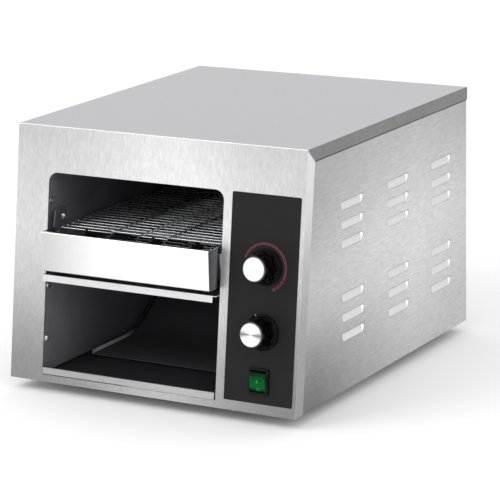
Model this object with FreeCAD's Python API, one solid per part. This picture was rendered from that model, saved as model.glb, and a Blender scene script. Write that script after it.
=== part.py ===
import FreeCAD, Part

import math
import os

# Conveyor toaster with a slanted front, a wire belt and a return chute.
# Everything is drawn in the case frame: x to the right, y from the front foot line to the
# rear, z up from the underside of the case. export_node moves it so that the origin is
# at the middle of the underside of the whole machine.

# Case
CASE_W = 430.0
CASE_D = 510.0
CASE_H = 335.0
FRONT_SET_BACK = 45.0
SHEET = 1.0
BASE_SHEET = 1.2
INNER_SHEET = 1.0
SKIRT_H = 17.5
RETURN_W = 20.0
BOTTOM_RETURN = 14.0
IN_TURN = 12.0
SEAM = 0.3
SIDE_TUCK = 3.0

# Feet
FOOT_H = 15.0
FOOT_R = 15.0
FOOT_TOE_R = 12.5
FOOT_INSET_X = 55.0
FOOT_INSET_FRONT = 80.0
FOOT_INSET_REAR = 70.0
FOOT_SCREW_R = 2.5
FOOT_SCREW_HEAD_R = 5.0
FOOT_SCREW_HEAD_H = 3.0

# Window in the front, measured up the slope
LEFT_STRIP = 50.0
CONTROL_STRIP = 116.0
TOP_STRIP = 57.5
WINDOW_LEFT = -CASE_W / 2.0 + LEFT_STRIP
WINDOW_RIGHT = CASE_W / 2.0 - CONTROL_STRIP
WINDOW_TOP = CASE_H - TOP_STRIP
WINDOW_BOTTOM = 9.3
WINDOW_TOP_R = 13.0
WINDOW_FOOT_R = 0.8

# Toasting chamber
WALL_BEHIND_WINDOW = 1.0
ROOF_ABOVE_WINDOW = 1.5
ROOF_Z = WINDOW_TOP + ROOF_ABOVE_WINDOW
CHAMBER_BACK_GAP = 36.0
CHAMBER_BACK_Y = CASE_D - CHAMBER_BACK_GAP
WALL_PAST_BACK = 2.0
WALL_FOOT_CLEAR = 3.0
REFLECTOR_UNDER_ROOF = 7.0
REFLECTOR_Z = ROOF_Z - REFLECTOR_UNDER_ROOF
REFLECTOR_FRONT = 118.0
REFLECTOR_REAR = 342.0
REFLECTOR_LIP = 9.0
REFLECTOR_TURN = 8.0
REFLECTOR_LIP_T = 1.2

# Heaters
TUBE_R = 5.0
TUBE_WALL = 1.2
TUBE_HOLE_GAP = 0.4
CAP_R = 8.0
CAP_LEN = 16.0
CAP_OFF_WALL = 0.5
TUBE_UNDER_REFLECTOR = 11.0
UPPER_TUBE_Z = REFLECTOR_Z - TUBE_UNDER_REFLECTOR
UPPER_TUBES_Y = (150.0, 230.0, 310.0)
LOWER_TUBES_Y = (120.0, 210.0, 300.0)

# Conveyor
BELT_PITCH = 13.0
BELT_TOP_Z = 202.0
BELT_GAP_LEFT = 14.0
BELT_GAP_RIGHT = 8.0
BELT_LEFT = WINDOW_LEFT + BELT_GAP_LEFT
BELT_RIGHT = WINDOW_RIGHT - BELT_GAP_RIGHT
BELT_FIRST_COLUMN = 80.0
BELT_COLUMN_STEP = 41.5
BELT_COLUMNS = tuple(BELT_LEFT + BELT_FIRST_COLUMN + i * BELT_COLUMN_STEP for i in range(3))
BELT_SPAN_PITCHES = 26
SPROCKET_TEETH = 8
WIRE = 1.8
HOOK_RISE = 2.1
HOOK_RAMP = 1.6
HOOK_SHIFT = 2.2
HOOK_ROOM = 2.15
IDLER_Y = 41.0
SHAFT_R = 6.0
RUN_FIT = 0.05
SEAT_FIT = 0.02
BUSH_R = 8.5
BUSH_FLANGE_R = 11.0
BUSH_FLANGE_T = 2.0
BUSH_LEN = 8.0
RING_R = 9.0
RING_T = 1.7
RING_GAP = 0.3
SHAFT_TAIL = 2.0
SPROCKET_T = 4.0
SPROCKET_HUB_R = 10.0
SPROCKET_HUB_LEN = 12.0
SPROCKET_TIP = 1.4
SPROCKET_VALLEY_R = 2.1
SPROCKET_FLARE = 0.4
SPROCKET_FROM_LEFT = 40.0
SPROCKET_FROM_RIGHT = 40.0
SPROCKET_FROM_COLUMN = 20.5
SPROCKET_X = (BELT_LEFT + SPROCKET_FROM_LEFT, BELT_COLUMNS[1] + SPROCKET_FROM_COLUMN,
              BELT_RIGHT - SPROCKET_FROM_RIGHT)

# Idler bracket beside the belt
BRACKET_GAP = 8.0
BRACKET_WEB_X = WINDOW_LEFT + BRACKET_GAP
BRACKET_WEB_T = 2.0
BRACKET_FRONT_Y = 24.0
BRACKET_REAR_Y = 58.0
BRACKET_LOW_Z = 160.0
BRACKET_TOP_Z = 225.0

# Feed apron
APRON_GAP_LEFT = 10.0
APRON_GAP_RIGHT = 3.0
APRON_OVER_BELT = 2.5
APRON_H = 52.5
APRON_LEFT = WINDOW_LEFT + APRON_GAP_LEFT
APRON_RIGHT = WINDOW_RIGHT - APRON_GAP_RIGHT
APRON_TOP_Z = BELT_TOP_Z + APRON_OVER_BELT
APRON_LOW_Z = APRON_TOP_Z - APRON_H
APRON_FACE_Y = -2.0
APRON_SIDE_END = 29.0
APRON_LIP = 6.0
APRON_BEND_R = 2.0
APRON_TAB_IN = 10.0
APRON_TAB_H = 32.0

# Shelf under the belt
SHELF_TOP_Z = 143.3
SHELF_LIP_H = 8.8
SHELF_PROUD = 8.0
SHELF_GAP_LEFT = 1.0
SHELF_GAP_RIGHT = 6.0
SHELF_SHEET_GAP = 0.5
SHELF_LIP_LEFT = WINDOW_LEFT + SHELF_GAP_LEFT
SHELF_LIP_RIGHT = WINDOW_RIGHT - SHELF_GAP_RIGHT
SHELF_REAR = 322.0
SHELF_REAR_LIP = 6.0

# Return chute
CHUTE_GAP_LEFT = 15.0
CHUTE_GAP_RIGHT = 13.0
CHUTE_LEFT = WINDOW_LEFT + CHUTE_GAP_LEFT
CHUTE_RIGHT = WINDOW_RIGHT - CHUTE_GAP_RIGHT
CHUTE_FRONT_Y = 98.0
CHUTE_FLAT_END = 182.0
CHUTE_Z = 12.9
CHUTE_BEND_R = 100.0
CHUTE_SLOPE = 34.2
CHUTE_RIM = 5.0
CHUTE_BEND_STEPS = 5
CHUTE_EAR_LEN = 22.0
CHUTE_EAR_STEP = 120.0
CHUTE_EAR_INSET = 32.0
CHUTE_EAR_LAST = CHAMBER_BACK_Y - CHUTE_EAR_INSET - CHUTE_EAR_LEN
CHUTE_EAR_Y = (CHUTE_EAR_LAST - CHUTE_EAR_STEP, CHUTE_EAR_LAST)

# Crumb tray
LIP_TOP = 18.8
TRAY_GAP = 0.4
TRAY_FLOOR_Z = 9.5
TRAY_RIM_Z = 12.3
TRAY_REAR = 330.0
TRAY_SIDE_GAP = 3.0
TRAY_LIP_GAP_RIGHT = 2.0
HEM_GAP = 3.0
HEM_DEEP = 5.0
RUNNER_W = 11.0
RUNNER_UP = 22.0
RUNNER_REAR_GAP = 14.0
RUNNER_REAR = CHAMBER_BACK_Y - RUNNER_REAR_GAP
RUNNER_GAP = 0.3

# Controls
PANEL_MARGIN = 5.5
PANEL_W = 98.0
PANEL_LOW = 13.0
PANEL_ABOVE_WINDOW = 0.5
PANEL_RIGHT = CASE_W / 2.0 - PANEL_MARGIN
PANEL_LEFT = PANEL_RIGHT - PANEL_W
PANEL_TOP = WINDOW_TOP + PANEL_ABOVE_WINDOW
PANEL_T = 0.8
PANEL_CORNER_R = 2.0
KNOB_IN = 46.5
KNOB_X = PANEL_RIGHT - KNOB_IN
SPEED_KNOB_S = 187.0
HEAT_KNOB_S = 104.5
KNOB_SKIRT_R = 23.6
KNOB_SKIRT_T = 2.2
KNOB_GRIP_R = 19.5
KNOB_TIP_R = 17.4
KNOB_H = 29.0
KNOB_GAP = 0.5
KNOB_SCALLOPS = 8
KNOB_SCALLOP_R = 5.0
KNOB_SCALLOP_IN = 1.2
CAP_DISC_R = 16.2
CAP_DISC_T = 1.2
CAP_RECESS = 0.6
SPINDLE_R = 3.0
SPINDLE_HOLE_R = 5.2
COLLAR_R = 4.8
COLLAR_OUT = 2.0
COLLAR_GAP = 1.2
KNOB_POCKET = 2.0
KNOB_WEB = 8.0
SPINDLE_IN = 8.0
SPEED_BODY = 34.0
SPEED_BODY_DEEP = 24.0
HEAT_BODY_R = 21.0
HEAT_BODY_DEEP = 32.0
SWITCH_IN = 47.7
SWITCH_X = PANEL_RIGHT - SWITCH_IN
SWITCH_S = 42.0
BEZEL_W = 28.0
BEZEL_H = 33.0
BEZEL_PROUD = 3.0
SWITCH_W = 25.5
SWITCH_H = 30.5
SWITCH_WELL_GAP = 1.5
SWITCH_DEEP = 24.0
ROCKER_W = 22.0
ROCKER_H = 25.0
ROCKER_GAP = 0.35
ROCKER_TILT = 11.0
ROCKER_FLAT = 12.0
ROCKER_DROP = 4.0
ROCKER_DEPTH = 3.0
ROCKER_PROUD = 5.7
ROCKER_PIVOT_OUT = -4.0
ROCKER_PIN_R = 1.5
ROCKER_PIN_OUT = 0.8

# Chain drive
CHAIN_PITCH = 9.525
CHAIN_TEETH = 12
CHAIN_RUN = 9
CHAIN_OFF_WALL = 15.0
CHAIN_X = WINDOW_RIGHT + WALL_BEHIND_WINDOW + CHAIN_OFF_WALL
CHAIN_ANGLE = -130.0
CHAIN_PLATE_H = 7.0
CHAIN_PLATE_T = 1.0
CHAIN_ROLLER_R = 2.5
CHAIN_PIN_R = 1.0
CHAIN_PIN_HOLE = 1.35
CHAIN_INNER = 4.6
CHAIN_WHEEL_T = 3.6
CHAIN_HUB_R = 11.0
CHAIN_HUB_LEN = 9.0
CHAIN_VALLEY_R = 2.8
CHAIN_TIP = 1.6
CHAIN_FLARE = 1.1
PINION_BORE_R = 4.0
MOTOR_PLATE_T = 2.0
MOTOR_PLATE_W = 78.0
MOTOR_POST_R = 4.0
MOTOR_POST_IN = 4.5
MOTOR_PLATE_OFF = 21.5
MOTOR_HOLE_R = 14.0
GEARBOX_W = 62.0
GEARBOX_LEN = 28.0
GEARBOX_R = 6.0
MOTOR_R = 25.0
MOTOR_LEN = 50.0
MOTOR_NOSE_R = 12.0
MOTOR_NOSE_LEN = 5.0

# Wiring side
BOARD_Y = 78.0
BOARD_Z = 222.5
BOARD_W = 80.0
BOARD_H = 52.0
BOARD_T = 1.6
SINK_T = 16.0
SINK_H = 40.0
SINK_L = 20.0
SINK_FROM_MIDDLE = 4.0
CHOKE_R = 9.0
CHOKE_T = 12.0
CHOKE_Y = 18.0
CHOKE_Z = 8.0
RELAY_T = 14.0
RELAY_Y = 8.0
RELAY_L = 20.0
RELAY_H = 16.0
RELAY_Z = 8.0
BOARD_POST = 5.0
BOARD_POST_R = 3.0
BOARD_POST_IN = 6.0
TERMINAL_REAR_GAP = 125.0
TERMINAL_IN = 55.0
TERMINAL_Y = CASE_D - TERMINAL_REAR_GAP
TERMINAL_X = CASE_W / 2.0 - TERMINAL_IN
TERMINAL_L = 52.0
TERMINAL_W = 24.0
TERMINAL_H = 20.0
TERMINAL_WAYS = 5
TERMINAL_SLOT = 6.0
TERMINAL_SLOT_DEEP = 8.0
GLAND_FROM_SIDE = 50.0
GLAND_X = CASE_W / 2.0 - GLAND_FROM_SIDE
GLAND_Z = 60.0
GLAND_OUT = 14.0
GLAND_BORE_R = 4.6
GLAND_BARREL_R = 8.0
GLAND_FLANGE_R = 12.0
GLAND_FLANGE_T = 4.0
GLAND_NOSE_R = 9.5
GLAND_IN = 14.0
GLAND_NUT_T = 5.0

# Louvres and vents
LOUVRE_LEN = 61.0
LOUVRE_H = 9.5
LOUVRE_DEPTH = 4.5
LOUVRE_END = 5.0
LOUVRE_REAR_INSETS = (348.3, 217.0, 85.3)
LOUVRE_TOP_INSETS = (90.0, 116.0, 141.0)
LOUVRE_LOW_ROWS = (124.0, 96.6, 70.5)
LOUVRE_COLUMNS = tuple(CASE_D - inset for inset in LOUVRE_REAR_INSETS)
LOUVRE_ROWS = tuple(CASE_H - inset for inset in LOUVRE_TOP_INSETS) + LOUVRE_LOW_ROWS
VENT_L = 60.0
VENT_H = 4.0
VENT_ROWS = 6
VENT_PITCH = 14.0
VENT_TOP_INSET = 145.0
VENT_LOW_Z = CASE_H - VENT_TOP_INSET
VENT_COLUMN_STEP = 120.0
VENT_COLUMNS = (-VENT_COLUMN_STEP, 0.0, VENT_COLUMN_STEP)

# Screws
SCREW_R = 2.0
SCREW_HEAD_R = 3.8
SCREW_HEAD_H = 2.0
SCREW_REAR_INSET = 9.0
SCREW_CHAMFER = 0.9
REAR_SCREW_LOW = 20.0
REAR_SCREW_TOP_GAP = 45.0
REAR_SCREW_ROWS = 4
WINDOW_SCREW_IN = 8.0
WINDOW_SCREW_OVER_BRACKET = 11.5
WINDOW_SCREW_UNDER_SHELF = 18.0
WINDOW_SCREW_LOW = 55.0
BRACKET_SCREW_IN = 8.5
BRACKET_SCREW_DOWN = 11.0

SLANT = math.atan2(FRONT_SET_BACK, CASE_H)
SLOPE = CASE_H / math.cos(SLANT)
HALF_W = CASE_W / 2.0
SIDE_OUT = HALF_W - SHEET
SIDE_IN = SIDE_OUT - SHEET
WALL_LEFT = WINDOW_LEFT - WALL_BEHIND_WINDOW
WALL_RIGHT = WINDOW_RIGHT + WALL_BEHIND_WINDOW
REAR_OUT = CASE_D - SHEET
REAR_IN = REAR_OUT - SHEET
LID_UNDER = CASE_H - SHEET
SKIRT_Z = CASE_H - SKIRT_H
PITCH_R = BELT_PITCH / (2.0 * math.sin(math.pi / SPROCKET_TEETH))
SHAFT_Z = BELT_TOP_Z - WIRE / 2.0 - PITCH_R
DRIVE_Y = IDLER_Y + BELT_SPAN_PITCHES * BELT_PITCH
HOOK_REACH = BELT_PITCH + 2.0 * HOOK_RAMP
CHAIN_R = CHAIN_PITCH / (2.0 * math.sin(math.pi / CHAIN_TEETH))
CHAIN_DIR = math.radians(CHAIN_ANGLE)
MOTOR_Y = DRIVE_Y + CHAIN_RUN * CHAIN_PITCH * math.cos(CHAIN_DIR)
MOTOR_Z = SHAFT_Z + CHAIN_RUN * CHAIN_PITCH * math.sin(CHAIN_DIR)
KNOB_TOP = PANEL_T + KNOB_GAP + KNOB_H
TIP_TOP = KNOB_TOP - CAP_RECESS + CAP_DISC_T
FRONT_REACH = (TIP_TOP * math.cos(SLANT) + CAP_DISC_R * math.sin(SLANT)
               - HEAT_KNOB_S * math.sin(SLANT))
REAR_REACH = CASE_D + GLAND_OUT
ORIGIN_Y = (REAR_REACH - FRONT_REACH) / 2.0


def vec(x, y, z):
    return FreeCAD.Vector(x, y, z)


def block(x0, x1, y0, y1, z0, z1):
    return Part.makeBox(x1 - x0, y1 - y0, z1 - z0, vec(x0, y0, z0))


def rod(radius, start, direction, length):
    return Part.makeCylinder(radius, length, start, direction)


def side_plate(points, x0, x1):
    # A flat outline given as (y, z) points, made into a plate between two x values.
    corners = [vec(x0, y, z) for y, z in points]
    outline = Part.makePolygon(corners + corners[:1])
    return Part.Face(outline).extrude(vec(x1 - x0, 0, 0))


def front_plate(points, low, high):
    # A flat outline given as (x, slope) points, between two heights off the slanted front.
    corners = [vec(x, s, low) for x, s in points]
    outline = Part.makePolygon(corners + corners[:1])
    return Part.Face(outline).extrude(vec(0, 0, high - low))


def front_y(z):
    return FRONT_SET_BACK * z / CASE_H


def lean(shape):
    # Moves a piece drawn flat (x, up the slope, out of the front) onto the slanted front.
    turned = shape.copy()
    turn = FreeCAD.Rotation(vec(1, 0, 0), 90.0 - math.degrees(SLANT))
    turned.Placement = FreeCAD.Placement(vec(0, 0, 0), turn).multiply(turned.Placement)
    return turned


def fuse(shapes):
    whole = shapes[0]
    if len(shapes) > 1:
        whole = whole.multiFuse(shapes[1:])
    return whole.removeSplitter()


def mirror_x(shape):
    return shape.mirror(vec(0, 0, 0), vec(1, 0, 0))


def round_corners(solid, axis, radius):
    # Rounds the edges of a plate that run along one axis.
    edges = [e for e in solid.Edges if abs(abs(e.tangentAt(e.FirstParameter).dot(axis)) - 1) < 1e-6]
    return solid.makeFillet(radius, edges)


nodes = {}


def export_node(name, shape):
    moved = shape.copy()
    moved.translate(vec(0, -ORIGIN_Y, FOOT_H))
    if not moved.isValid():
        print("not valid:", name)
    moved.exportStep("parts/" + name + ".step")
    nodes[name] = moved


# Case shell

def make_front_panel():
    sheet = front_plate([(-HALF_W, 0), (HALF_W, 0), (HALF_W, SLOPE), (-HALF_W, SLOPE)], -SHEET, 0)
    hole = block(WINDOW_LEFT, WINDOW_RIGHT, WINDOW_BOTTOM, WINDOW_TOP, -9, 9)
    top = [e for e in hole.Edges if e.BoundBox.ZLength > 17 and e.BoundBox.YMin > WINDOW_TOP - 1]
    hole = hole.makeFillet(WINDOW_TOP_R, top)
    low = [e for e in hole.Edges if e.BoundBox.ZLength > 17 and e.BoundBox.YMax < WINDOW_BOTTOM + 1]
    hole = hole.makeFillet(WINDOW_FOOT_R, low)
    sheet = sheet.cut([hole] + control_holes())
    sheet = lean(sheet)
    sheet = sheet.cut(block(-HALF_W - 1, HALF_W + 1, -50, CASE_D, LID_UNDER, CASE_H + 9))
    pieces = [sheet]
    mitre = [(0, 0), (RETURN_W, 0), (front_y(SKIRT_Z) + RETURN_W, SKIRT_Z - SEAM),
             (front_y(LID_UNDER), LID_UNDER)]
    pieces.append(side_plate(mitre, SIDE_OUT, HALF_W))
    pieces.append(side_plate(mitre, -HALF_W, -SIDE_OUT))
    foot = block(-SIDE_IN, SIDE_IN, 0.6, BOTTOM_RETURN, BASE_SHEET, BASE_SHEET + SHEET)
    pieces.append(foot)
    return fuse(pieces)


def control_holes():
    holes = []
    for s in (SPEED_KNOB_S, HEAT_KNOB_S):
        holes.append(rod(SPINDLE_HOLE_R, vec(KNOB_X, s, -9), vec(0, 0, 1), 18))
    half_w = SWITCH_W / 2.0 + SEAT_FIT
    half_h = SWITCH_H / 2.0 + SEAT_FIT
    holes.append(block(SWITCH_X - half_w, SWITCH_X + half_w,
                       SWITCH_S - half_h, SWITCH_S + half_h, -9, 9))
    return holes


def make_top_cover():
    top = block(-HALF_W, HALF_W, FRONT_SET_BACK, CASE_D, LID_UNDER, CASE_H)
    skirt = [(front_y(LID_UNDER) + SHEET / math.cos(SLANT) + SEAM, LID_UNDER),
             (front_y(SKIRT_Z) + RETURN_W + SEAM, SKIRT_Z), (CASE_D, SKIRT_Z), (CASE_D, CASE_H),
             (FRONT_SET_BACK, CASE_H)]
    right = side_plate(skirt, SIDE_OUT, HALF_W)
    left = side_plate(skirt, -HALF_W, -SIDE_OUT)
    rear = block(-HALF_W, HALF_W, REAR_OUT, CASE_D, SKIRT_Z, CASE_H)
    return fuse([top, right, left, rear])


def make_louvre(y, z, grow):
    # Pressed inwards: flush along its lower edge, open along its upper edge, with slanted
    # ends. grow makes the same shape larger by the sheet's thickness.
    half = LOUVRE_LEN / 2.0 + grow
    low = z - LOUVRE_H / 2.0 - grow
    high = z + LOUVRE_H / 2.0
    depth = LOUVRE_DEPTH + grow
    outer = [vec(SIDE_OUT, y - half, high), vec(SIDE_OUT, y + half, high)]
    inner = [vec(SIDE_OUT - depth, y - half + LOUVRE_END, high),
             vec(SIDE_OUT - depth, y + half - LOUVRE_END, high)]
    foot = [vec(SIDE_OUT, y - half + LOUVRE_END, low), vec(SIDE_OUT, y + half - LOUVRE_END, low)]
    rings = [[outer[0], outer[1], inner[1], inner[0]], [inner[0], inner[1], foot[1], foot[0]],
             [foot[0], foot[1], outer[1], outer[0]], [outer[0], inner[0], foot[0]],
             [outer[1], foot[1], inner[1]]]
    faces = [Part.Face(Part.makePolygon(r + r[:1])) for r in rings]
    solid = Part.makeSolid(Part.makeShell(faces))
    if solid.Volume < 0:
        solid.reverse()
    return solid


def make_right_side_panel():
    tuck = SHEET / math.cos(SLANT) + SEAM
    outline = [(front_y(SIDE_TUCK) + tuck, 0), (REAR_OUT, 0), (REAR_OUT, LID_UNDER),
               (front_y(LID_UNDER) + tuck, LID_UNDER)]
    sheet = side_plate(outline, SIDE_IN, SIDE_OUT)
    cuts = []
    shells = []
    for y in LOUVRE_COLUMNS:
        for z in LOUVRE_ROWS:
            cuts.append(make_louvre(y, z, 0.0))
            shells.append(make_louvre(y, z, SHEET))
    foot = block(SIDE_IN - IN_TURN, SIDE_IN, BOTTOM_RETURN + RETURN_W, REAR_IN - SHEET - SEAM,
                 BASE_SHEET, BASE_SHEET + SHEET)
    rear = block(SIDE_IN - IN_TURN, SIDE_IN, REAR_IN - SHEET, REAR_IN, BASE_SHEET, LID_UNDER)
    whole = sheet.multiFuse(shells + [foot, rear]).cut(cuts)
    return whole.removeSplitter()


def make_rear_panel():
    sheet = block(-SIDE_IN, SIDE_IN, REAR_IN, REAR_OUT, 0, LID_UNDER)
    cuts = [rod(GLAND_BARREL_R + SEAT_FIT, vec(GLAND_X, REAR_IN - 5, GLAND_Z), vec(0, 1, 0), 12)]
    for x in VENT_COLUMNS:
        for row in range(VENT_ROWS):
            z = VENT_LOW_Z + row * VENT_PITCH
            cuts.append(block(x - VENT_L / 2, x + VENT_L / 2, REAR_IN - 1, REAR_OUT + 1,
                              z, z + VENT_H))
    for x, z in rear_screw_places():
        cuts.append(rod(SCREW_R + SEAT_FIT, vec(x, REAR_IN - 1, z), vec(0, 1, 0), 4))
    return sheet.cut(cuts)


def rear_screw_places():
    x = SIDE_IN - SCREW_REAR_INSET
    step = (CASE_H - REAR_SCREW_TOP_GAP - REAR_SCREW_LOW) / (REAR_SCREW_ROWS - 1)
    rows = [REAR_SCREW_LOW + i * step for i in range(REAR_SCREW_ROWS)]
    return [(side * x, z) for side in (-1, 1) for z in rows]


def make_rear_screws():
    screws = []
    for x, z in rear_screw_places():
        head = rod(SCREW_HEAD_R, vec(x, REAR_OUT, z), vec(0, 1, 0), SCREW_HEAD_H)
        head = head.makeChamfer(SCREW_CHAMFER, [head.Edges[0]])
        shank = rod(SCREW_R, vec(x, REAR_OUT - SHEET + 0.01, z), vec(0, 1, 0), SHEET)
        screws.append(head.fuse(shank).removeSplitter())
    return Part.makeCompound(screws)


def foot_places():
    x = HALF_W - FOOT_INSET_X
    return [(sx * x, y) for sx in (-1, 1) for y in (FOOT_INSET_FRONT, CASE_D - FOOT_INSET_REAR)]


def make_base_plate():
    sheet = block(-SIDE_IN, SIDE_IN, SHEET / math.cos(SLANT) + SEAM, REAR_IN, 0, BASE_SHEET)
    cuts = [rod(FOOT_SCREW_R + SEAT_FIT, vec(x, y, -1), vec(0, 0, 1), 5) for x, y in foot_places()]
    return sheet.cut(cuts)


def make_rubber_feet():
    feet = []
    for x, y in foot_places():
        foot = Part.makeCone(FOOT_TOE_R, FOOT_R, FOOT_H, vec(x, y, -FOOT_H))
        foot = foot.makeChamfer(1.0, [foot.Edges[2]])
        recess = rod(FOOT_SCREW_HEAD_R + 0.5, vec(x, y, -FOOT_H - 1), vec(0, 0, 1), 7.0)
        hole = rod(FOOT_SCREW_R + SEAT_FIT, vec(x, y, -FOOT_H), vec(0, 0, 1), FOOT_H + 1)
        feet.append(foot.cut([recess, hole]))
    return Part.makeCompound(feet)


def make_foot_screws():
    screws = []
    seat = -FOOT_H + 6.0
    for x, y in foot_places():
        head = rod(FOOT_SCREW_HEAD_R, vec(x, y, seat - FOOT_SCREW_HEAD_H), vec(0, 0, 1),
                   FOOT_SCREW_HEAD_H)
        shank = rod(FOOT_SCREW_R, vec(x, y, seat - 0.01), vec(0, 0, 1), 6.0 - seat)
        screws.append(head.fuse(shank).removeSplitter())
    return Part.makeCompound(screws)


# Chamber

def wall_outline():
    lap = SHEET / math.cos(SLANT) + SEAM
    step = BOTTOM_RETURN + SEAM
    return [(step, BASE_SHEET), (CHAMBER_BACK_Y + WALL_PAST_BACK, BASE_SHEET),
            (CHAMBER_BACK_Y + WALL_PAST_BACK, ROOF_Z + INNER_SHEET),
            (front_y(ROOF_Z + INNER_SHEET) + lap, ROOF_Z + INNER_SHEET),
            (front_y(BASE_SHEET + WALL_FOOT_CLEAR) + lap, BASE_SHEET + WALL_FOOT_CLEAR),
            (step, BASE_SHEET + WALL_FOOT_CLEAR)]


def tube_places():
    upper = [(y, UPPER_TUBE_Z) for y in UPPER_TUBES_Y]
    lower = [(y, SHAFT_Z) for y in LOWER_TUBES_Y]
    return upper, lower


def make_wall(x0, bush_places):
    plate = side_plate(wall_outline(), x0, x0 + INNER_SHEET)
    upper, lower = tube_places()
    cuts = []
    for y, z in upper + lower:
        cuts.append(rod(TUBE_R + TUBE_HOLE_GAP, vec(x0 - 1, y, z), vec(1, 0, 0), 4))
    for y, z in bush_places:
        cuts.append(rod(BUSH_R + SEAT_FIT, vec(x0 - 1, y, z), vec(1, 0, 0), 4))
    return plate.cut(cuts)


def make_chamber_roof():
    return block(WALL_LEFT, WALL_RIGHT, front_y(ROOF_Z) + 2.0, CHAMBER_BACK_Y + INNER_SHEET,
                 ROOF_Z, ROOF_Z + INNER_SHEET)


def make_chamber_back():
    low = chute_height(CHAMBER_BACK_Y) + INNER_SHEET
    return block(WALL_LEFT, WALL_RIGHT, CHAMBER_BACK_Y, CHAMBER_BACK_Y + INNER_SHEET, low, ROOF_Z)


def make_upper_reflector():
    top = REFLECTOR_Z + INNER_SHEET
    low = REFLECTOR_Z - REFLECTOR_LIP
    turn = REFLECTOR_TURN
    inner = REFLECTOR_TURN + INNER_SHEET
    outline = [(REFLECTOR_FRONT, low), (REFLECTOR_FRONT + turn, top), (REFLECTOR_REAR - turn, top),
               (REFLECTOR_REAR, low), (REFLECTOR_REAR - REFLECTOR_LIP_T, low),
               (REFLECTOR_REAR - inner, REFLECTOR_Z), (REFLECTOR_FRONT + inner, REFLECTOR_Z),
               (REFLECTOR_FRONT + REFLECTOR_LIP_T, low)]
    return side_plate(outline, WALL_LEFT, WALL_RIGHT)


def make_heaters(places):
    # Quartz tubes with the resistance wire drawn as a plain core.
    tubes = []
    x0 = WALL_LEFT - INNER_SHEET - CAP_OFF_WALL - CAP_LEN / 2.0
    x1 = WALL_RIGHT + INNER_SHEET + CAP_OFF_WALL + CAP_LEN / 2.0
    for y, z in places:
        tube = rod(TUBE_R, vec(x0, y, z), vec(1, 0, 0), x1 - x0)
        bore = rod(TUBE_R - TUBE_WALL, vec(x0 - 1, y, z), vec(1, 0, 0), x1 - x0 + 2)
        tubes.append(tube.cut(bore))
    return Part.makeCompound(tubes)


def make_heater_coils(places):
    coils = []
    x0 = WALL_LEFT - INNER_SHEET - CAP_OFF_WALL - CAP_LEN / 2.0
    x1 = WALL_RIGHT + INNER_SHEET + CAP_OFF_WALL + CAP_LEN / 2.0
    for y, z in places:
        coils.append(rod(TUBE_R - TUBE_WALL - SEAT_FIT, vec(x0, y, z), vec(1, 0, 0), x1 - x0))
    return Part.makeCompound(coils)


def make_heater_caps(places):
    caps = []
    for y, z in places:
        for side in (-1, 1):
            face = WALL_RIGHT + INNER_SHEET if side > 0 else WALL_LEFT - INNER_SHEET
            cap = rod(CAP_R, vec(face, y, z), vec(side, 0, 0), CAP_OFF_WALL + CAP_LEN)
            socket = rod(TUBE_R + SEAT_FIT, vec(face - side, y, z), vec(side, 0, 0),
                         1.0 + CAP_OFF_WALL + CAP_LEN / 2.0)
            cap = cap.cut(socket)
            caps.append(cap)
    return Part.makeCompound(caps)


# Feed apron, shelf, chute and tray

def make_feed_apron():
    outer = block(APRON_LEFT, APRON_RIGHT, APRON_FACE_Y, APRON_SIDE_END, APRON_LOW_Z, APRON_TOP_Z)
    front = [e for e in outer.Edges
             if e.BoundBox.YMax < APRON_FACE_Y + 0.1 and e.BoundBox.XLength > 50]
    outer = outer.makeFillet(APRON_BEND_R, front)
    inner = block(APRON_LEFT + SHEET, APRON_RIGHT - SHEET, APRON_FACE_Y + SHEET,
                  APRON_SIDE_END + 1, APRON_LOW_Z + SHEET, APRON_TOP_Z - SHEET)
    open_top = block(APRON_LEFT + SHEET, APRON_RIGHT - SHEET, APRON_FACE_Y + APRON_LIP,
                     APRON_SIDE_END + 1, APRON_LOW_Z - 1, APRON_TOP_Z + 1)
    shell = outer.cut([inner, open_top])
    tab = block(APRON_RIGHT - SHEET / 2, WALL_RIGHT, APRON_SIDE_END - SHEET, APRON_SIDE_END,
                APRON_LOW_Z + APRON_TAB_IN, APRON_LOW_Z + APRON_TAB_IN + APRON_TAB_H)
    return fuse([shell, tab])


def make_idler_bracket():
    web = block(BRACKET_WEB_X, BRACKET_WEB_X + BRACKET_WEB_T, BRACKET_FRONT_Y, BRACKET_REAR_Y,
                BRACKET_LOW_Z, BRACKET_TOP_Z)
    front = block(WALL_LEFT, BRACKET_WEB_X + BRACKET_WEB_T, BRACKET_REAR_Y - BRACKET_WEB_T,
                  BRACKET_REAR_Y, BRACKET_LOW_Z, BRACKET_TOP_Z)
    foot = block(WALL_LEFT, BRACKET_WEB_X + BRACKET_WEB_T, BRACKET_FRONT_Y, BRACKET_REAR_Y,
                 BRACKET_LOW_Z, BRACKET_LOW_Z + BRACKET_WEB_T)
    slope_y = front_y(BRACKET_TOP_Z) + SHEET + 2.5
    trim = side_plate([(0, BRACKET_LOW_Z + 25), (BRACKET_FRONT_Y, BRACKET_LOW_Z + 25),
                       (slope_y, BRACKET_TOP_Z + 1), (0, BRACKET_TOP_Z + 1)],
                      WALL_LEFT - 1, BRACKET_WEB_X + 5)
    hole = rod(BUSH_R + SEAT_FIT, vec(BRACKET_WEB_X - 1, IDLER_Y, SHAFT_Z), vec(1, 0, 0), 5)
    return fuse([web, front, foot]).cut([hole, trim])


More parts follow.
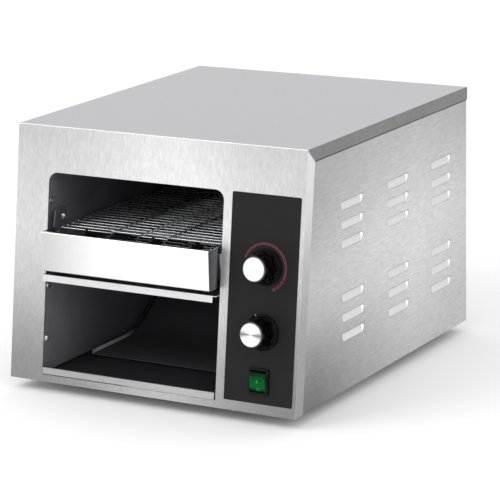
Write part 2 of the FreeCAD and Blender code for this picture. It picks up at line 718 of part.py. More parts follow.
def make_crumb_shelf():
    low = SHELF_TOP_Z - SHEET
    slope = SHEET / math.cos(SLANT)
    lip_y = front_y(SHELF_TOP_Z) - SHELF_PROUD
    sheet = block(SHELF_LIP_LEFT, WINDOW_RIGHT - SHELF_SHEET_GAP, lip_y, front_y(SHELF_TOP_Z) + 4,
                  low, SHELF_TOP_Z)
    wide = block(WALL_LEFT, WALL_RIGHT, front_y(SHELF_TOP_Z) + 2, SHELF_REAR, low, SHELF_TOP_Z)
    drop = SHELF_LIP_H
    lip = [(lip_y, SHELF_TOP_Z), (lip_y - drop * math.tan(SLANT), SHELF_TOP_Z - drop),
           (lip_y - drop * math.tan(SLANT) + slope, SHELF_TOP_Z - drop), (lip_y + slope, SHELF_TOP_Z)]
    front = side_plate(lip, SHELF_LIP_LEFT, SHELF_LIP_RIGHT)
    rear = block(WALL_LEFT, WALL_RIGHT, SHELF_REAR - SHEET, SHELF_REAR, low, low + SHELF_REAR_LIP)
    return fuse([sheet, wide, front, rear])


def chute_height(y):
    # Height of the chute's upper face at a given depth, past its bend.
    bend = math.radians(CHUTE_SLOPE)
    y_end = CHUTE_FLAT_END + CHUTE_BEND_R * math.sin(bend)
    z_end = CHUTE_Z + INNER_SHEET + CHUTE_BEND_R * (1 - math.cos(bend))
    return z_end + (y - y_end) * math.tan(bend)


def chute_line(lift):
    # The chute's section as (y, z) points, raised by lift above its underside.
    radius = CHUTE_BEND_R - lift
    centre_z = CHUTE_Z + CHUTE_BEND_R
    points = [(CHUTE_FRONT_Y, CHUTE_Z + lift)]
    for step in range(CHUTE_BEND_STEPS + 1):
        turn = math.radians(CHUTE_SLOPE) * step / CHUTE_BEND_STEPS
        points.append((CHUTE_FLAT_END + radius * math.sin(turn), centre_z - radius * math.cos(turn)))
    last_y, last_z = points[-1]
    run = CHAMBER_BACK_Y - last_y
    points.append((CHAMBER_BACK_Y, last_z + run * math.tan(math.radians(CHUTE_SLOPE))))
    return points


def make_toast_chute():
    low = chute_line(0.0)
    floor = side_plate(low + chute_line(INNER_SHEET)[::-1], CHUTE_LEFT, CHUTE_RIGHT)
    rim_outline = low + chute_line(INNER_SHEET + CHUTE_RIM)[::-1]
    left = side_plate(rim_outline, CHUTE_LEFT, CHUTE_LEFT + INNER_SHEET)
    right = side_plate(rim_outline, CHUTE_RIGHT - INNER_SHEET, CHUTE_RIGHT)
    pieces = [floor, left, right]
    for y in CHUTE_EAR_Y:
        z = chute_height(y) - INNER_SHEET
        rise = CHUTE_EAR_LEN * math.tan(math.radians(CHUTE_SLOPE))
        ear = [(y, z), (y + CHUTE_EAR_LEN, z + rise), (y + CHUTE_EAR_LEN, z + rise + INNER_SHEET),
               (y, z + INNER_SHEET)]
        pieces.append(side_plate(ear, WALL_LEFT, CHUTE_LEFT + INNER_SHEET))
        pieces.append(side_plate(ear, CHUTE_RIGHT - INNER_SHEET, WALL_RIGHT))
    return fuse(pieces)


def make_crumb_tray():
    left = WALL_LEFT + TRAY_SIDE_GAP
    right = WALL_RIGHT - TRAY_SIDE_GAP
    front = front_y(TRAY_RIM_Z) + SHEET / 4.0
    floor = block(left, right, front, TRAY_REAR, TRAY_FLOOR_Z, TRAY_FLOOR_Z + SHEET)
    rims = [block(left, left + SHEET, front, TRAY_REAR, TRAY_FLOOR_Z, TRAY_RIM_Z),
            block(right - SHEET, right, front, TRAY_REAR, TRAY_FLOOR_Z, TRAY_RIM_Z),
            block(left, right, TRAY_REAR - SHEET, TRAY_REAR, TRAY_FLOOR_Z, TRAY_RIM_Z)]
    lip = front_plate([(WINDOW_LEFT + TRAY_GAP, WINDOW_BOTTOM + TRAY_GAP),
                       (WINDOW_RIGHT - TRAY_LIP_GAP_RIGHT, WINDOW_BOTTOM + TRAY_GAP),
                       (WINDOW_RIGHT - TRAY_LIP_GAP_RIGHT, LIP_TOP),
                       (WINDOW_LEFT + TRAY_GAP, LIP_TOP)], -SHEET, 0)
    hem_left = WINDOW_LEFT + HEM_GAP
    hem_right = WINDOW_RIGHT - TRAY_LIP_GAP_RIGHT - HEM_GAP
    hem = front_plate([(hem_left, LIP_TOP - SHEET), (hem_right, LIP_TOP - SHEET),
                       (hem_right, LIP_TOP), (hem_left, LIP_TOP)], -HEM_DEEP, -SHEET / 2.0)
    return fuse([floor, lean(lip), lean(hem)] + rims)


def make_tray_runners():
    top = TRAY_FLOOR_Z - RUNNER_GAP
    front = BOTTOM_RETURN + 2
    runners = []
    for inner, outer in ((WALL_LEFT + RUNNER_W, WALL_LEFT), (WALL_RIGHT - RUNNER_W, WALL_RIGHT)):
        x0, x1 = sorted((inner, outer))
        runners.append(block(x0, x1, front, RUNNER_REAR, top - SHEET, top))
    legs = [block(WALL_LEFT, WALL_LEFT + SHEET, front, RUNNER_REAR, BASE_SHEET, top),
            block(WALL_RIGHT - SHEET, WALL_RIGHT, front, RUNNER_REAR, BASE_SHEET, top)]
    return Part.makeCompound([fuse([runners[0], legs[0]]), fuse([runners[1], legs[1]])])


# Conveyor

def bent_wire(path, width):
    # A wire of square section that follows straight runs with mitred corners.
    points = [vec(*p) for p in path]
    directions = [(points[i + 1] - points[i]).normalize() for i in range(len(points) - 1)]
    along = directions[0]
    up = vec(0, 0, 1)
    across = up.cross(along).normalize()
    half = width / 2.0
    ring = [points[0] + across * (a * half) + up * (b * half)
            for a, b in ((-1, -1), (1, -1), (1, 1), (-1, 1))]
    faces = [Part.Face(Part.makePolygon(ring + ring[:1]))]
    for i, direction in enumerate(directions):
        last = i == len(directions) - 1
        normal = direction if last else (direction + directions[i + 1]).normalize()
        target = points[i + 1]
        nxt = [p + direction * ((target - p).dot(normal) / direction.dot(normal)) for p in ring]
        for k in range(4):
            m = (k + 1) % 4
            faces.append(Part.Face(Part.makePolygon([ring[k], ring[m], nxt[m], nxt[k], ring[k]])))
        ring = nxt
    faces.append(Part.Face(Part.makePolygon(ring + ring[:1])))
    solid = Part.makeSolid(Part.makeShell(faces))
    if solid.Volume < 0:
        solid.reverse()
    return solid


def hook(x, start, start_h, end, end_h):
    # One interlocking jog. The wire leaves start, passes over its neighbour and comes
    # down at end, HOOK_SHIFT back along its own width.
    way = 1.0 if end > start else -1.0
    return [(x, start, start_h), (x, start + way * HOOK_RAMP, HOOK_RISE),
            (x - HOOK_SHIFT, end - way * HOOK_RAMP, HOOK_RISE), (x - HOOK_SHIFT, end, end_h)]


def belt_wire(turn):
    # turn is how far the belt bends at this wire's neighbour. Where it bends, the wire
    # rides over its neighbour's hooks instead of dropping behind them.
    near = 0.0
    far = -HOOK_REACH
    lift = 0.0
    if turn > 0.01:
        room = HOOK_RISE + HOOK_ROOM - (HOOK_REACH - BELT_PITCH) * math.sin(turn)
        lift = room / math.cos(turn)
    half = HOOK_SHIFT / 2.0
    path = [(BELT_LEFT + HOOK_SHIFT, far, 0), (BELT_LEFT + HOOK_SHIFT, far + HOOK_RAMP, HOOK_RISE),
            (BELT_LEFT, near - HOOK_RAMP, HOOK_RISE), (BELT_LEFT, near, 0)]
    for number, x in enumerate(BELT_COLUMNS):
        if number % 2 == 0:
            path += hook(x + half, near, 0.0, far, lift)
        else:
            path += hook(x + half, far, lift, near, 0.0)
    path += [(BELT_RIGHT, far, lift), (BELT_RIGHT, far + HOOK_RAMP, HOOK_RISE),
             (BELT_RIGHT - HOOK_SHIFT, near - HOOK_RAMP, HOOK_RISE),
             (BELT_RIGHT - HOOK_SHIFT, near, 0)]
    return bent_wire(path, WIRE)


def belt_pivots():
    # Where each wire crosses the belt's middle line, once round the loop.
    top = [(IDLER_Y + i * BELT_PITCH, SHAFT_Z + PITCH_R) for i in range(BELT_SPAN_PITCHES + 1)]
    step = 2 * math.pi / SPROCKET_TEETH
    half_turn = SPROCKET_TEETH // 2
    rear = []
    front = []
    for i in range(1, half_turn):
        angle = math.pi / 2 - i * step
        rear.append((DRIVE_Y + PITCH_R * math.cos(angle), SHAFT_Z + PITCH_R * math.sin(angle)))
        front.append((IDLER_Y - PITCH_R * math.cos(angle), SHAFT_Z - PITCH_R * math.sin(angle)))
    bottom = [(y, SHAFT_Z - PITCH_R) for y, z in top[::-1]]
    return top + rear + bottom + front


def make_conveyor_belt():
    pivots = belt_pivots()
    headings = []
    for i, (y, z) in enumerate(pivots):
        before_y, before_z = pivots[i - 1]
        headings.append(math.atan2(z - before_z, y - before_y))
    shapes = {}
    wires = []
    for i, (y, z) in enumerate(pivots):
        turn = abs(headings[i - 1] - headings[i]) % (2 * math.pi)
        turn = min(turn, 2 * math.pi - turn)
        key = round(turn, 3)
        if key not in shapes:
            shapes[key] = belt_wire(turn)
        copy = shapes[key].copy()
        heading = FreeCAD.Rotation(vec(1, 0, 0), math.degrees(headings[i]))
        copy.Placement = FreeCAD.Placement(vec(0, y, z), heading)
        wires.append(copy)
    return Part.makeCompound(wires)


def toothed_disc(teeth, pitch_radius, tip, valley, flare, thickness, phase):
    # A disc with round valleys that widen outwards, drawn about the x axis at the origin.
    disc = rod(pitch_radius + tip, vec(-thickness / 2, 0, 0), vec(1, 0, 0), thickness)
    cuts = []
    for i in range(teeth):
        angle = math.radians(phase) + 2 * math.pi * i / teeth
        y = pitch_radius * math.cos(angle)
        z = pitch_radius * math.sin(angle)
        cuts.append(rod(valley, vec(-thickness, y, z), vec(1, 0, 0), 2 * thickness))
        reach = pitch_radius + 2 * tip
        mouth = side_plate([(pitch_radius, -valley), (reach, -valley - 2 * flare),
                            (reach, valley + 2 * flare), (pitch_radius, valley)],
                           -thickness, thickness)
        mouth.rotate(vec(0, 0, 0), vec(1, 0, 0), math.degrees(angle))
        cuts.append(mouth)
    return disc.cut(cuts)


def make_belt_sprockets(y):
    sprockets = []
    b_turn = math.degrees(math.atan2(HOOK_REACH - BELT_PITCH, PITCH_R))
    for number, x in enumerate(SPROCKET_X):
        phase = 90.0 if number < 2 else 90.0 + b_turn
        disc = toothed_disc(SPROCKET_TEETH, PITCH_R, SPROCKET_TIP, SPROCKET_VALLEY_R,
                            SPROCKET_FLARE, SPROCKET_T, phase)
        hub = rod(SPROCKET_HUB_R, vec(-SPROCKET_HUB_LEN / 2, 0, 0), vec(1, 0, 0), SPROCKET_HUB_LEN)
        bore = rod(SHAFT_R + SEAT_FIT, vec(-20, 0, 0), vec(1, 0, 0), 40)
        whole = disc.fuse(hub).cut(bore)
        whole.translate(vec(x, y, SHAFT_Z))
        sprockets.append(whole)
    return Part.makeCompound(sprockets)


def bush(face_x, way, y):
    # Flange against a face, body through it, drawn along +x or -x.
    flange = rod(BUSH_FLANGE_R, vec(face_x - way * BUSH_FLANGE_T, y, SHAFT_Z), vec(way, 0, 0),
                 BUSH_FLANGE_T)
    body = rod(BUSH_R, vec(face_x - way * BUSH_FLANGE_T, y, SHAFT_Z), vec(way, 0, 0), BUSH_LEN)
    bore = rod(SHAFT_R + RUN_FIT, vec(face_x - way * 20, y, SHAFT_Z), vec(way, 0, 0), 40)
    return flange.fuse(body).removeSplitter().cut(bore)


def make_shaft_bushes():
    web_face = BRACKET_WEB_X + BRACKET_WEB_T
    return Part.makeCompound([bush(web_face, -1, IDLER_Y), bush(WALL_RIGHT, 1, IDLER_Y),
                              bush(WALL_LEFT, -1, DRIVE_Y), bush(WALL_RIGHT, 1, DRIVE_Y)])


def bush_end(face_x, way):
    return face_x + way * (BUSH_LEN - BUSH_FLANGE_T)


def make_drive_shaft():
    x0 = bush_end(WALL_LEFT, -1) - RING_GAP - RING_T - SHAFT_TAIL
    x1 = CHAIN_X + CHAIN_WHEEL_T / 2 + CHAIN_HUB_LEN + SHAFT_TAIL
    shaft = rod(SHAFT_R, vec(x0, DRIVE_Y, SHAFT_Z), vec(1, 0, 0), x1 - x0)
    return shaft.makeChamfer(0.8, [shaft.Edges[0], shaft.Edges[2]])


def make_idler_shaft():
    x0 = bush_end(BRACKET_WEB_X + BRACKET_WEB_T, -1) - SHAFT_TAIL
    x1 = bush_end(WALL_RIGHT, 1) + RING_GAP + RING_T + SHAFT_TAIL
    shaft = rod(SHAFT_R, vec(x0, IDLER_Y, SHAFT_Z), vec(1, 0, 0), x1 - x0)
    return shaft.makeChamfer(0.8, [shaft.Edges[0], shaft.Edges[2]])


def ring(x, way, y):
    outer = rod(RING_R, vec(x, y, SHAFT_Z), vec(way, 0, 0), RING_T)
    return outer.cut(rod(SHAFT_R + SEAT_FIT, vec(x - way * 5, y, SHAFT_Z), vec(way, 0, 0), 10))


def make_drive_rings():
    left = ring(bush_end(WALL_LEFT, -1) - RING_GAP, -1, DRIVE_Y)
    right = ring(bush_end(WALL_RIGHT, 1) + RING_GAP, 1, DRIVE_Y)
    return Part.makeCompound([left, right])


def make_idler_ring():
    return ring(bush_end(WALL_RIGHT, 1) + RING_GAP, 1, IDLER_Y)


# Chain drive

def chain_wheel(bore_r):
    phase = CHAIN_ANGLE + 90.0
    disc = toothed_disc(CHAIN_TEETH, CHAIN_R, CHAIN_TIP, CHAIN_VALLEY_R, CHAIN_FLARE,
                        CHAIN_WHEEL_T, phase)
    hub = rod(CHAIN_HUB_R, vec(0, 0, 0), vec(1, 0, 0), CHAIN_WHEEL_T / 2 + CHAIN_HUB_LEN)
    bore = rod(bore_r + SEAT_FIT, vec(-20, 0, 0), vec(1, 0, 0), 60)
    return disc.fuse(hub).cut(bore)


def make_chain_wheel():
    wheel = chain_wheel(SHAFT_R)
    wheel.translate(vec(CHAIN_X, DRIVE_Y, SHAFT_Z))
    return wheel


def make_motor_pinion():
    # The hub points away from the motor, so the chain runs close to its face.
    wheel = chain_wheel(PINION_BORE_R)
    wheel.rotate(vec(0, 0, 0), vec(0, 0, 1), 180)
    wheel.rotate(vec(0, 0, 0), vec(1, 0, 0), 2 * (CHAIN_ANGLE + 90.0) - 180.0)
    wheel.translate(vec(CHAIN_X, MOTOR_Y, MOTOR_Z))
    start = CHAIN_X - CHAIN_WHEEL_T / 2 - CHAIN_HUB_LEN + 4
    end = motor_face() + MOTOR_NOSE_LEN
    spindle = rod(PINION_BORE_R, vec(start, MOTOR_Y, MOTOR_Z), vec(1, 0, 0), end - start)
    return Part.makeCompound([wheel, spindle])


def chain_pins():
    # Pin centres once round the two wheels, starting where the chain leaves the drive wheel.
    across = CHAIN_DIR + math.pi / 2
    run = CHAIN_PITCH
    pins = []
    for i in range(CHAIN_RUN + 1):
        y = DRIVE_Y + CHAIN_R * math.cos(across) + i * run * math.cos(CHAIN_DIR)
        z = SHAFT_Z + CHAIN_R * math.sin(across) + i * run * math.sin(CHAIN_DIR)
        pins.append((y, z))
    for i in range(1, CHAIN_TEETH // 2):
        angle = across - i * 2 * math.pi / CHAIN_TEETH
        pins.append((MOTOR_Y + CHAIN_R * math.cos(angle), MOTOR_Z + CHAIN_R * math.sin(angle)))
    for i in range(CHAIN_RUN + 1):
        y = MOTOR_Y - CHAIN_R * math.cos(across) - i * run * math.cos(CHAIN_DIR)
        z = MOTOR_Z - CHAIN_R * math.sin(across) - i * run * math.sin(CHAIN_DIR)
        pins.append((y, z))
    for i in range(1, CHAIN_TEETH // 2):
        angle = across + math.pi - i * 2 * math.pi / CHAIN_TEETH
        pins.append((DRIVE_Y + CHAIN_R * math.cos(angle), SHAFT_Z + CHAIN_R * math.sin(angle)))
    return pins


def hexagon(along, radius):
    corners = [math.radians(60 * k) for k in range(6)]
    return [(along + radius * math.cos(a), radius * math.sin(a)) for a in corners]


def chain_link(start, end, outer):
    y0, z0 = start
    y1, z1 = end
    angle = math.degrees(math.atan2(z1 - z0, y1 - y0))
    near = CHAIN_INNER / 2 + (CHAIN_PLATE_T + 0.1 if outer else 0)
    solids = []
    nose = CHAIN_PLATE_H / 2
    outline = [(-nose, 0), (-nose / 2, -nose), (CHAIN_PITCH + nose / 2, -nose),
               (CHAIN_PITCH + nose, 0), (CHAIN_PITCH + nose / 2, nose), (-nose / 2, nose)]
    for way in (-1, 1):
        solids.append(side_plate(outline, way * near, way * (near + CHAIN_PLATE_T)))
    # Rollers on inner links, pins on outer links, both drawn with six sides.
    radius = CHAIN_PIN_R if outer else CHAIN_ROLLER_R
    for along in (0, CHAIN_PITCH):
        solids.append(side_plate(hexagon(along, radius), -near, near))
    link = solids[0].multiFuse(solids[1:])
    if not outer:
        holes = [side_plate(hexagon(along, CHAIN_PIN_HOLE), -20, 20) for along in (0, CHAIN_PITCH)]
        link = link.cut(holes)
    link.rotate(vec(0, 0, 0), vec(1, 0, 0), angle)
    link.translate(vec(CHAIN_X, y0, z0))
    return link


def make_drive_chain():
    pins = chain_pins()
    links = []
    for i, pin in enumerate(pins):
        links.append(chain_link(pin, pins[(i + 1) % len(pins)], i % 2 == 1))
    return Part.makeCompound(links)


def motor_face():
    return WALL_RIGHT + INNER_SHEET + MOTOR_PLATE_OFF


def motor_posts():
    reach = MOTOR_PLATE_W / 2 - MOTOR_POST_IN
    return [(MOTOR_Y + sy * reach, MOTOR_Z + sz * reach) for sy in (-1, 1) for sz in (-1, 1)]


def make_motor_plate():
    half = MOTOR_PLATE_W / 2
    plate = block(motor_face() - MOTOR_PLATE_T, motor_face(), MOTOR_Y - half, MOTOR_Y + half,
                  MOTOR_Z - half, MOTOR_Z + half)
    return plate.cut(rod(MOTOR_HOLE_R, vec(motor_face() - 9, MOTOR_Y, MOTOR_Z), vec(1, 0, 0), 20))


def make_motor_posts():
    face = WALL_RIGHT + INNER_SHEET
    length = MOTOR_PLATE_OFF - MOTOR_PLATE_T
    return Part.makeCompound([rod(MOTOR_POST_R, vec(face, y, z), vec(1, 0, 0), length)
                              for y, z in motor_posts()])


def make_gear_motor():
    half = GEARBOX_W / 2
    face = motor_face()
    box = block(face, face + GEARBOX_LEN, MOTOR_Y - half, MOTOR_Y + half,
                MOTOR_Z - half, MOTOR_Z + half)
    box = round_corners(box, vec(1, 0, 0), GEARBOX_R)
    can = rod(MOTOR_R, vec(face + GEARBOX_LEN, MOTOR_Y, MOTOR_Z), vec(1, 0, 0), MOTOR_LEN)
    can = can.makeChamfer(2.5, [can.Edges[0]])
    whole = fuse([box, can])
    bore = rod(PINION_BORE_R + RUN_FIT, vec(face - 1, MOTOR_Y, MOTOR_Z), vec(1, 0, 0),
               MOTOR_NOSE_LEN + 1.5)
    return whole.cut(bore)


# Controls

def make_control_panel():
    plate = front_plate([(PANEL_LEFT, PANEL_LOW), (PANEL_RIGHT, PANEL_LOW),
                         (PANEL_RIGHT, PANEL_TOP), (PANEL_LEFT, PANEL_TOP)], 0, PANEL_T)
    plate = round_corners(plate, vec(0, 0, 1), PANEL_CORNER_R)
    return lean(plate.cut(control_holes()))


def make_knob(s):
    base = PANEL_T + KNOB_GAP
    pocket = COLLAR_R + COLLAR_GAP
    profile = [(SPINDLE_R + SEAT_FIT, base + KNOB_POCKET), (pocket, base + KNOB_POCKET), (pocket, base),
               (KNOB_SKIRT_R, base), (KNOB_SKIRT_R - 0.4, base + KNOB_SKIRT_T),
               (KNOB_GRIP_R + 0.8, base + KNOB_SKIRT_T + 1.6),
               (KNOB_GRIP_R, base + KNOB_SKIRT_T + 3.0), (KNOB_TIP_R + 0.6, KNOB_TOP - 1.2),
               (KNOB_TIP_R - 0.4, KNOB_TOP), (CAP_DISC_R + SEAT_FIT, KNOB_TOP),
               (CAP_DISC_R + SEAT_FIT, KNOB_TOP - CAP_RECESS), (0, KNOB_TOP - CAP_RECESS),
               (0, KNOB_TOP - KNOB_WEB), (SPINDLE_R + SEAT_FIT, KNOB_TOP - KNOB_WEB)]
    corners = [vec(r, 0, h) for r, h in profile]
    outline = Part.Face(Part.makePolygon(corners + corners[:1]))
    knob = outline.revolve(vec(0, 0, 0), vec(0, 0, 1), 360)
    cuts = []
    for i in range(KNOB_SCALLOPS):
        angle = 2 * math.pi * (i + 0.5) / KNOB_SCALLOPS
        reach = KNOB_GRIP_R + KNOB_SCALLOP_R - KNOB_SCALLOP_IN
        cuts.append(rod(KNOB_SCALLOP_R, vec(reach * math.cos(angle), reach * math.sin(angle),
                                            base + KNOB_SKIRT_T + 2.5), vec(0, 0, 1), KNOB_H))
    knob = knob.cut(cuts)
    knob.translate(vec(KNOB_X, s, 0))
    return lean(knob)


def make_knob_cap(s):
    disc = rod(CAP_DISC_R, vec(KNOB_X, s, KNOB_TOP - CAP_RECESS), vec(0, 0, 1), CAP_DISC_T)
    disc = disc.makeChamfer(0.4, [disc.Edges[0]])
    return lean(disc)


def make_spindle(s):
    stem = rod(SPINDLE_R, vec(KNOB_X, s, -SPINDLE_IN), vec(0, 0, 1), KNOB_TOP - KNOB_WEB + SPINDLE_IN)
    return lean(stem)


def make_speed_control():
    half = SPEED_BODY / 2
    body = block(KNOB_X - half, KNOB_X + half, SPEED_KNOB_S - half, SPEED_KNOB_S + half,
                 -SHEET - SPEED_BODY_DEEP, -SHEET)
    body = round_corners(body, vec(0, 0, 1), 3.0)
    collar = rod(COLLAR_R, vec(KNOB_X, SPEED_KNOB_S, -SHEET), vec(0, 0, 1),
                 SHEET + PANEL_T + COLLAR_OUT)
    bore = rod(SPINDLE_R + RUN_FIT, vec(KNOB_X, SPEED_KNOB_S, -SPINDLE_IN - 1), vec(0, 0, 1), 30)
    return lean(body.fuse(collar).cut(bore))


def make_heat_control():
    body = rod(HEAT_BODY_R, vec(KNOB_X, HEAT_KNOB_S, -SHEET - HEAT_BODY_DEEP), vec(0, 0, 1),
               HEAT_BODY_DEEP)
    collar = rod(COLLAR_R, vec(KNOB_X, HEAT_KNOB_S, -SHEET), vec(0, 0, 1),
                 SHEET + PANEL_T + COLLAR_OUT)
    bore = rod(SPINDLE_R + RUN_FIT, vec(KNOB_X, HEAT_KNOB_S, -SPINDLE_IN - 1), vec(0, 0, 1), 30)
    return lean(body.fuse(collar).cut(bore))


def make_switch_body():
    half_w = SWITCH_W / 2
    half_h = SWITCH_H / 2
    frame = block(SWITCH_X - BEZEL_W / 2, SWITCH_X + BEZEL_W / 2, SWITCH_S - BEZEL_H / 2,
                  SWITCH_S + BEZEL_H / 2, PANEL_T, PANEL_T + BEZEL_PROUD)
    frame = round_corners(frame, vec(0, 0, 1), 2.0)
    body = block(SWITCH_X - half_w, SWITCH_X + half_w, SWITCH_S - half_h, SWITCH_S + half_h,
                 -SWITCH_DEEP, PANEL_T + 1)
    well = block(SWITCH_X - ROCKER_W / 2 - ROCKER_GAP, SWITCH_X + ROCKER_W / 2 + ROCKER_GAP,
                 SWITCH_S - ROCKER_H / 2 - SWITCH_WELL_GAP,
                 SWITCH_S + ROCKER_H / 2 + SWITCH_WELL_GAP, -12, 20)
    reach = ROCKER_W / 2 + ROCKER_PIN_OUT + RUN_FIT
    pins = rod(ROCKER_PIN_R + RUN_FIT, vec(SWITCH_X - reach, SWITCH_S, ROCKER_PIVOT_OUT),
               vec(1, 0, 0), 2 * reach)
    return lean(fuse([frame, body]).cut([well, pins]))


def make_power_rocker():
    half = ROCKER_H / 2
    flat = ROCKER_FLAT / 2
    top = PANEL_T + ROCKER_PROUD
    foot = ROCKER_PIVOT_OUT - ROCKER_DEPTH
    outline = [vec(0, -half + 1.5, foot), vec(0, half - 1.5, foot), vec(0, half, ROCKER_PIVOT_OUT),
               vec(0, half, top - ROCKER_DROP), vec(0, flat, top), vec(0, -flat, top),
               vec(0, -half, top - ROCKER_DROP), vec(0, -half, ROCKER_PIVOT_OUT)]
    prism = Part.Face(Part.makePolygon(outline + outline[:1])).extrude(vec(ROCKER_W, 0, 0))
    prism.translate(vec(-ROCKER_W / 2, 0, 0))
    reach = ROCKER_W / 2 + ROCKER_PIN_OUT
    pin = rod(ROCKER_PIN_R, vec(-reach, 0, ROCKER_PIVOT_OUT), vec(1, 0, 0), 2 * reach)
    rocker = prism.fuse(pin)
    rocker.rotate(vec(0, 0, ROCKER_PIVOT_OUT), vec(1, 0, 0), ROCKER_TILT)
    rocker.translate(vec(SWITCH_X, SWITCH_S, 0))
    return lean(rocker)


# Wiring side

def make_speed_board():
    x = WALL_RIGHT + INNER_SHEET + BOARD_POST
    board = block(x, x + BOARD_T, BOARD_Y - BOARD_W / 2, BOARD_Y + BOARD_W / 2,
                  BOARD_Z - BOARD_H / 2, BOARD_Z + BOARD_H / 2)
    face = x + BOARD_T
    sink_end = BOARD_Y - SINK_FROM_MIDDLE
    sink = block(face, face + SINK_T, sink_end - SINK_L, sink_end,
                 BOARD_Z - SINK_H / 2, BOARD_Z + SINK_H / 2)
    choke = rod(CHOKE_R, vec(face, BOARD_Y + CHOKE_Y, BOARD_Z + CHOKE_Z), vec(1, 0, 0), CHOKE_T)
    relay = block(face, face + RELAY_T, BOARD_Y + RELAY_Y, BOARD_Y + RELAY_Y + RELAY_L,
                  BOARD_Z - RELAY_Z - RELAY_H, BOARD_Z - RELAY_Z)
    return fuse([board, sink, choke, relay])


def make_board_posts():
    face = WALL_RIGHT + INNER_SHEET
    posts = []
    for sy in (-1, 1):
        for sz in (-1, 1):
            y = BOARD_Y + sy * (BOARD_W / 2 - BOARD_POST_IN)
            z = BOARD_Z + sz * (BOARD_H / 2 - BOARD_POST_IN)
            posts.append(rod(BOARD_POST_R, vec(face, y, z), vec(1, 0, 0), BOARD_POST))
    return Part.makeCompound(posts)


def make_terminal_block():
    body = block(TERMINAL_X - TERMINAL_W / 2, TERMINAL_X + TERMINAL_W / 2,
                 TERMINAL_Y - TERMINAL_L / 2, TERMINAL_Y + TERMINAL_L / 2,
                 BASE_SHEET, BASE_SHEET + TERMINAL_H)
    step = TERMINAL_L / TERMINAL_WAYS
    cuts = []
    for i in range(TERMINAL_WAYS):
        y = TERMINAL_Y - TERMINAL_L / 2 + (i + 0.5) * step
        half = TERMINAL_SLOT / 2.0
        cuts.append(block(TERMINAL_X - half, TERMINAL_X + half, y - half, y + half,
                          BASE_SHEET + TERMINAL_H - TERMINAL_SLOT_DEEP, BASE_SHEET + TERMINAL_H + 1))
    return body.cut(cuts)


def make_cord_gland():
    start = REAR_OUT - SHEET - GLAND_IN
    barrel = rod(GLAND_BARREL_R, vec(GLAND_X, start, GLAND_Z), vec(0, 1, 0), GLAND_IN + SHEET + 2)
    flange = rod(GLAND_FLANGE_R, vec(GLAND_X, REAR_OUT, GLAND_Z), vec(0, 1, 0), GLAND_FLANGE_T)
    nose_len = REAR_REACH - REAR_OUT - GLAND_FLANGE_T
    nose = Part.makeCone(GLAND_FLANGE_R - 1, GLAND_NOSE_R, nose_len,
                         vec(GLAND_X, REAR_OUT + GLAND_FLANGE_T, GLAND_Z), vec(0, 1, 0))
    bore = rod(GLAND_BORE_R, vec(GLAND_X, start - 1, GLAND_Z), vec(0, 1, 0), 60)
    return fuse([barrel, flange, nose]).cut(bore)


def make_gland_nut():
    nut = rod(GLAND_FLANGE_R, vec(GLAND_X, REAR_IN - GLAND_NUT_T, GLAND_Z), vec(0, 1, 0),
              GLAND_NUT_T)
    return nut.cut(rod(GLAND_BARREL_R + SEAT_FIT, vec(GLAND_X, REAR_IN - 20, GLAND_Z),
                       vec(0, 1, 0), 40))


def make_window_screws():
    # Pan heads just behind the window's left edge, their axes along x.
    screws = []
    rows = (BRACKET_TOP_Z + WINDOW_SCREW_OVER_BRACKET, SHELF_TOP_Z - WINDOW_SCREW_UNDER_SHELF,
            WINDOW_SCREW_LOW)
    for z in rows:
        y = front_y(z) + WINDOW_SCREW_IN
        head = rod(SCREW_HEAD_R, vec(WALL_LEFT, y, z), vec(1, 0, 0), SCREW_HEAD_H)
        screws.append(head.makeChamfer(SCREW_CHAMFER, [head.Edges[0]]))
    place = vec(BRACKET_WEB_X + BRACKET_WEB_T, BRACKET_REAR_Y - BRACKET_SCREW_IN,
                BRACKET_TOP_Z - BRACKET_SCREW_DOWN)
    head = rod(SCREW_HEAD_R, place, vec(1, 0, 0), SCREW_HEAD_H)
    screws.append(head.makeChamfer(SCREW_CHAMFER, [head.Edges[0]]))
    return Part.makeCompound(screws)


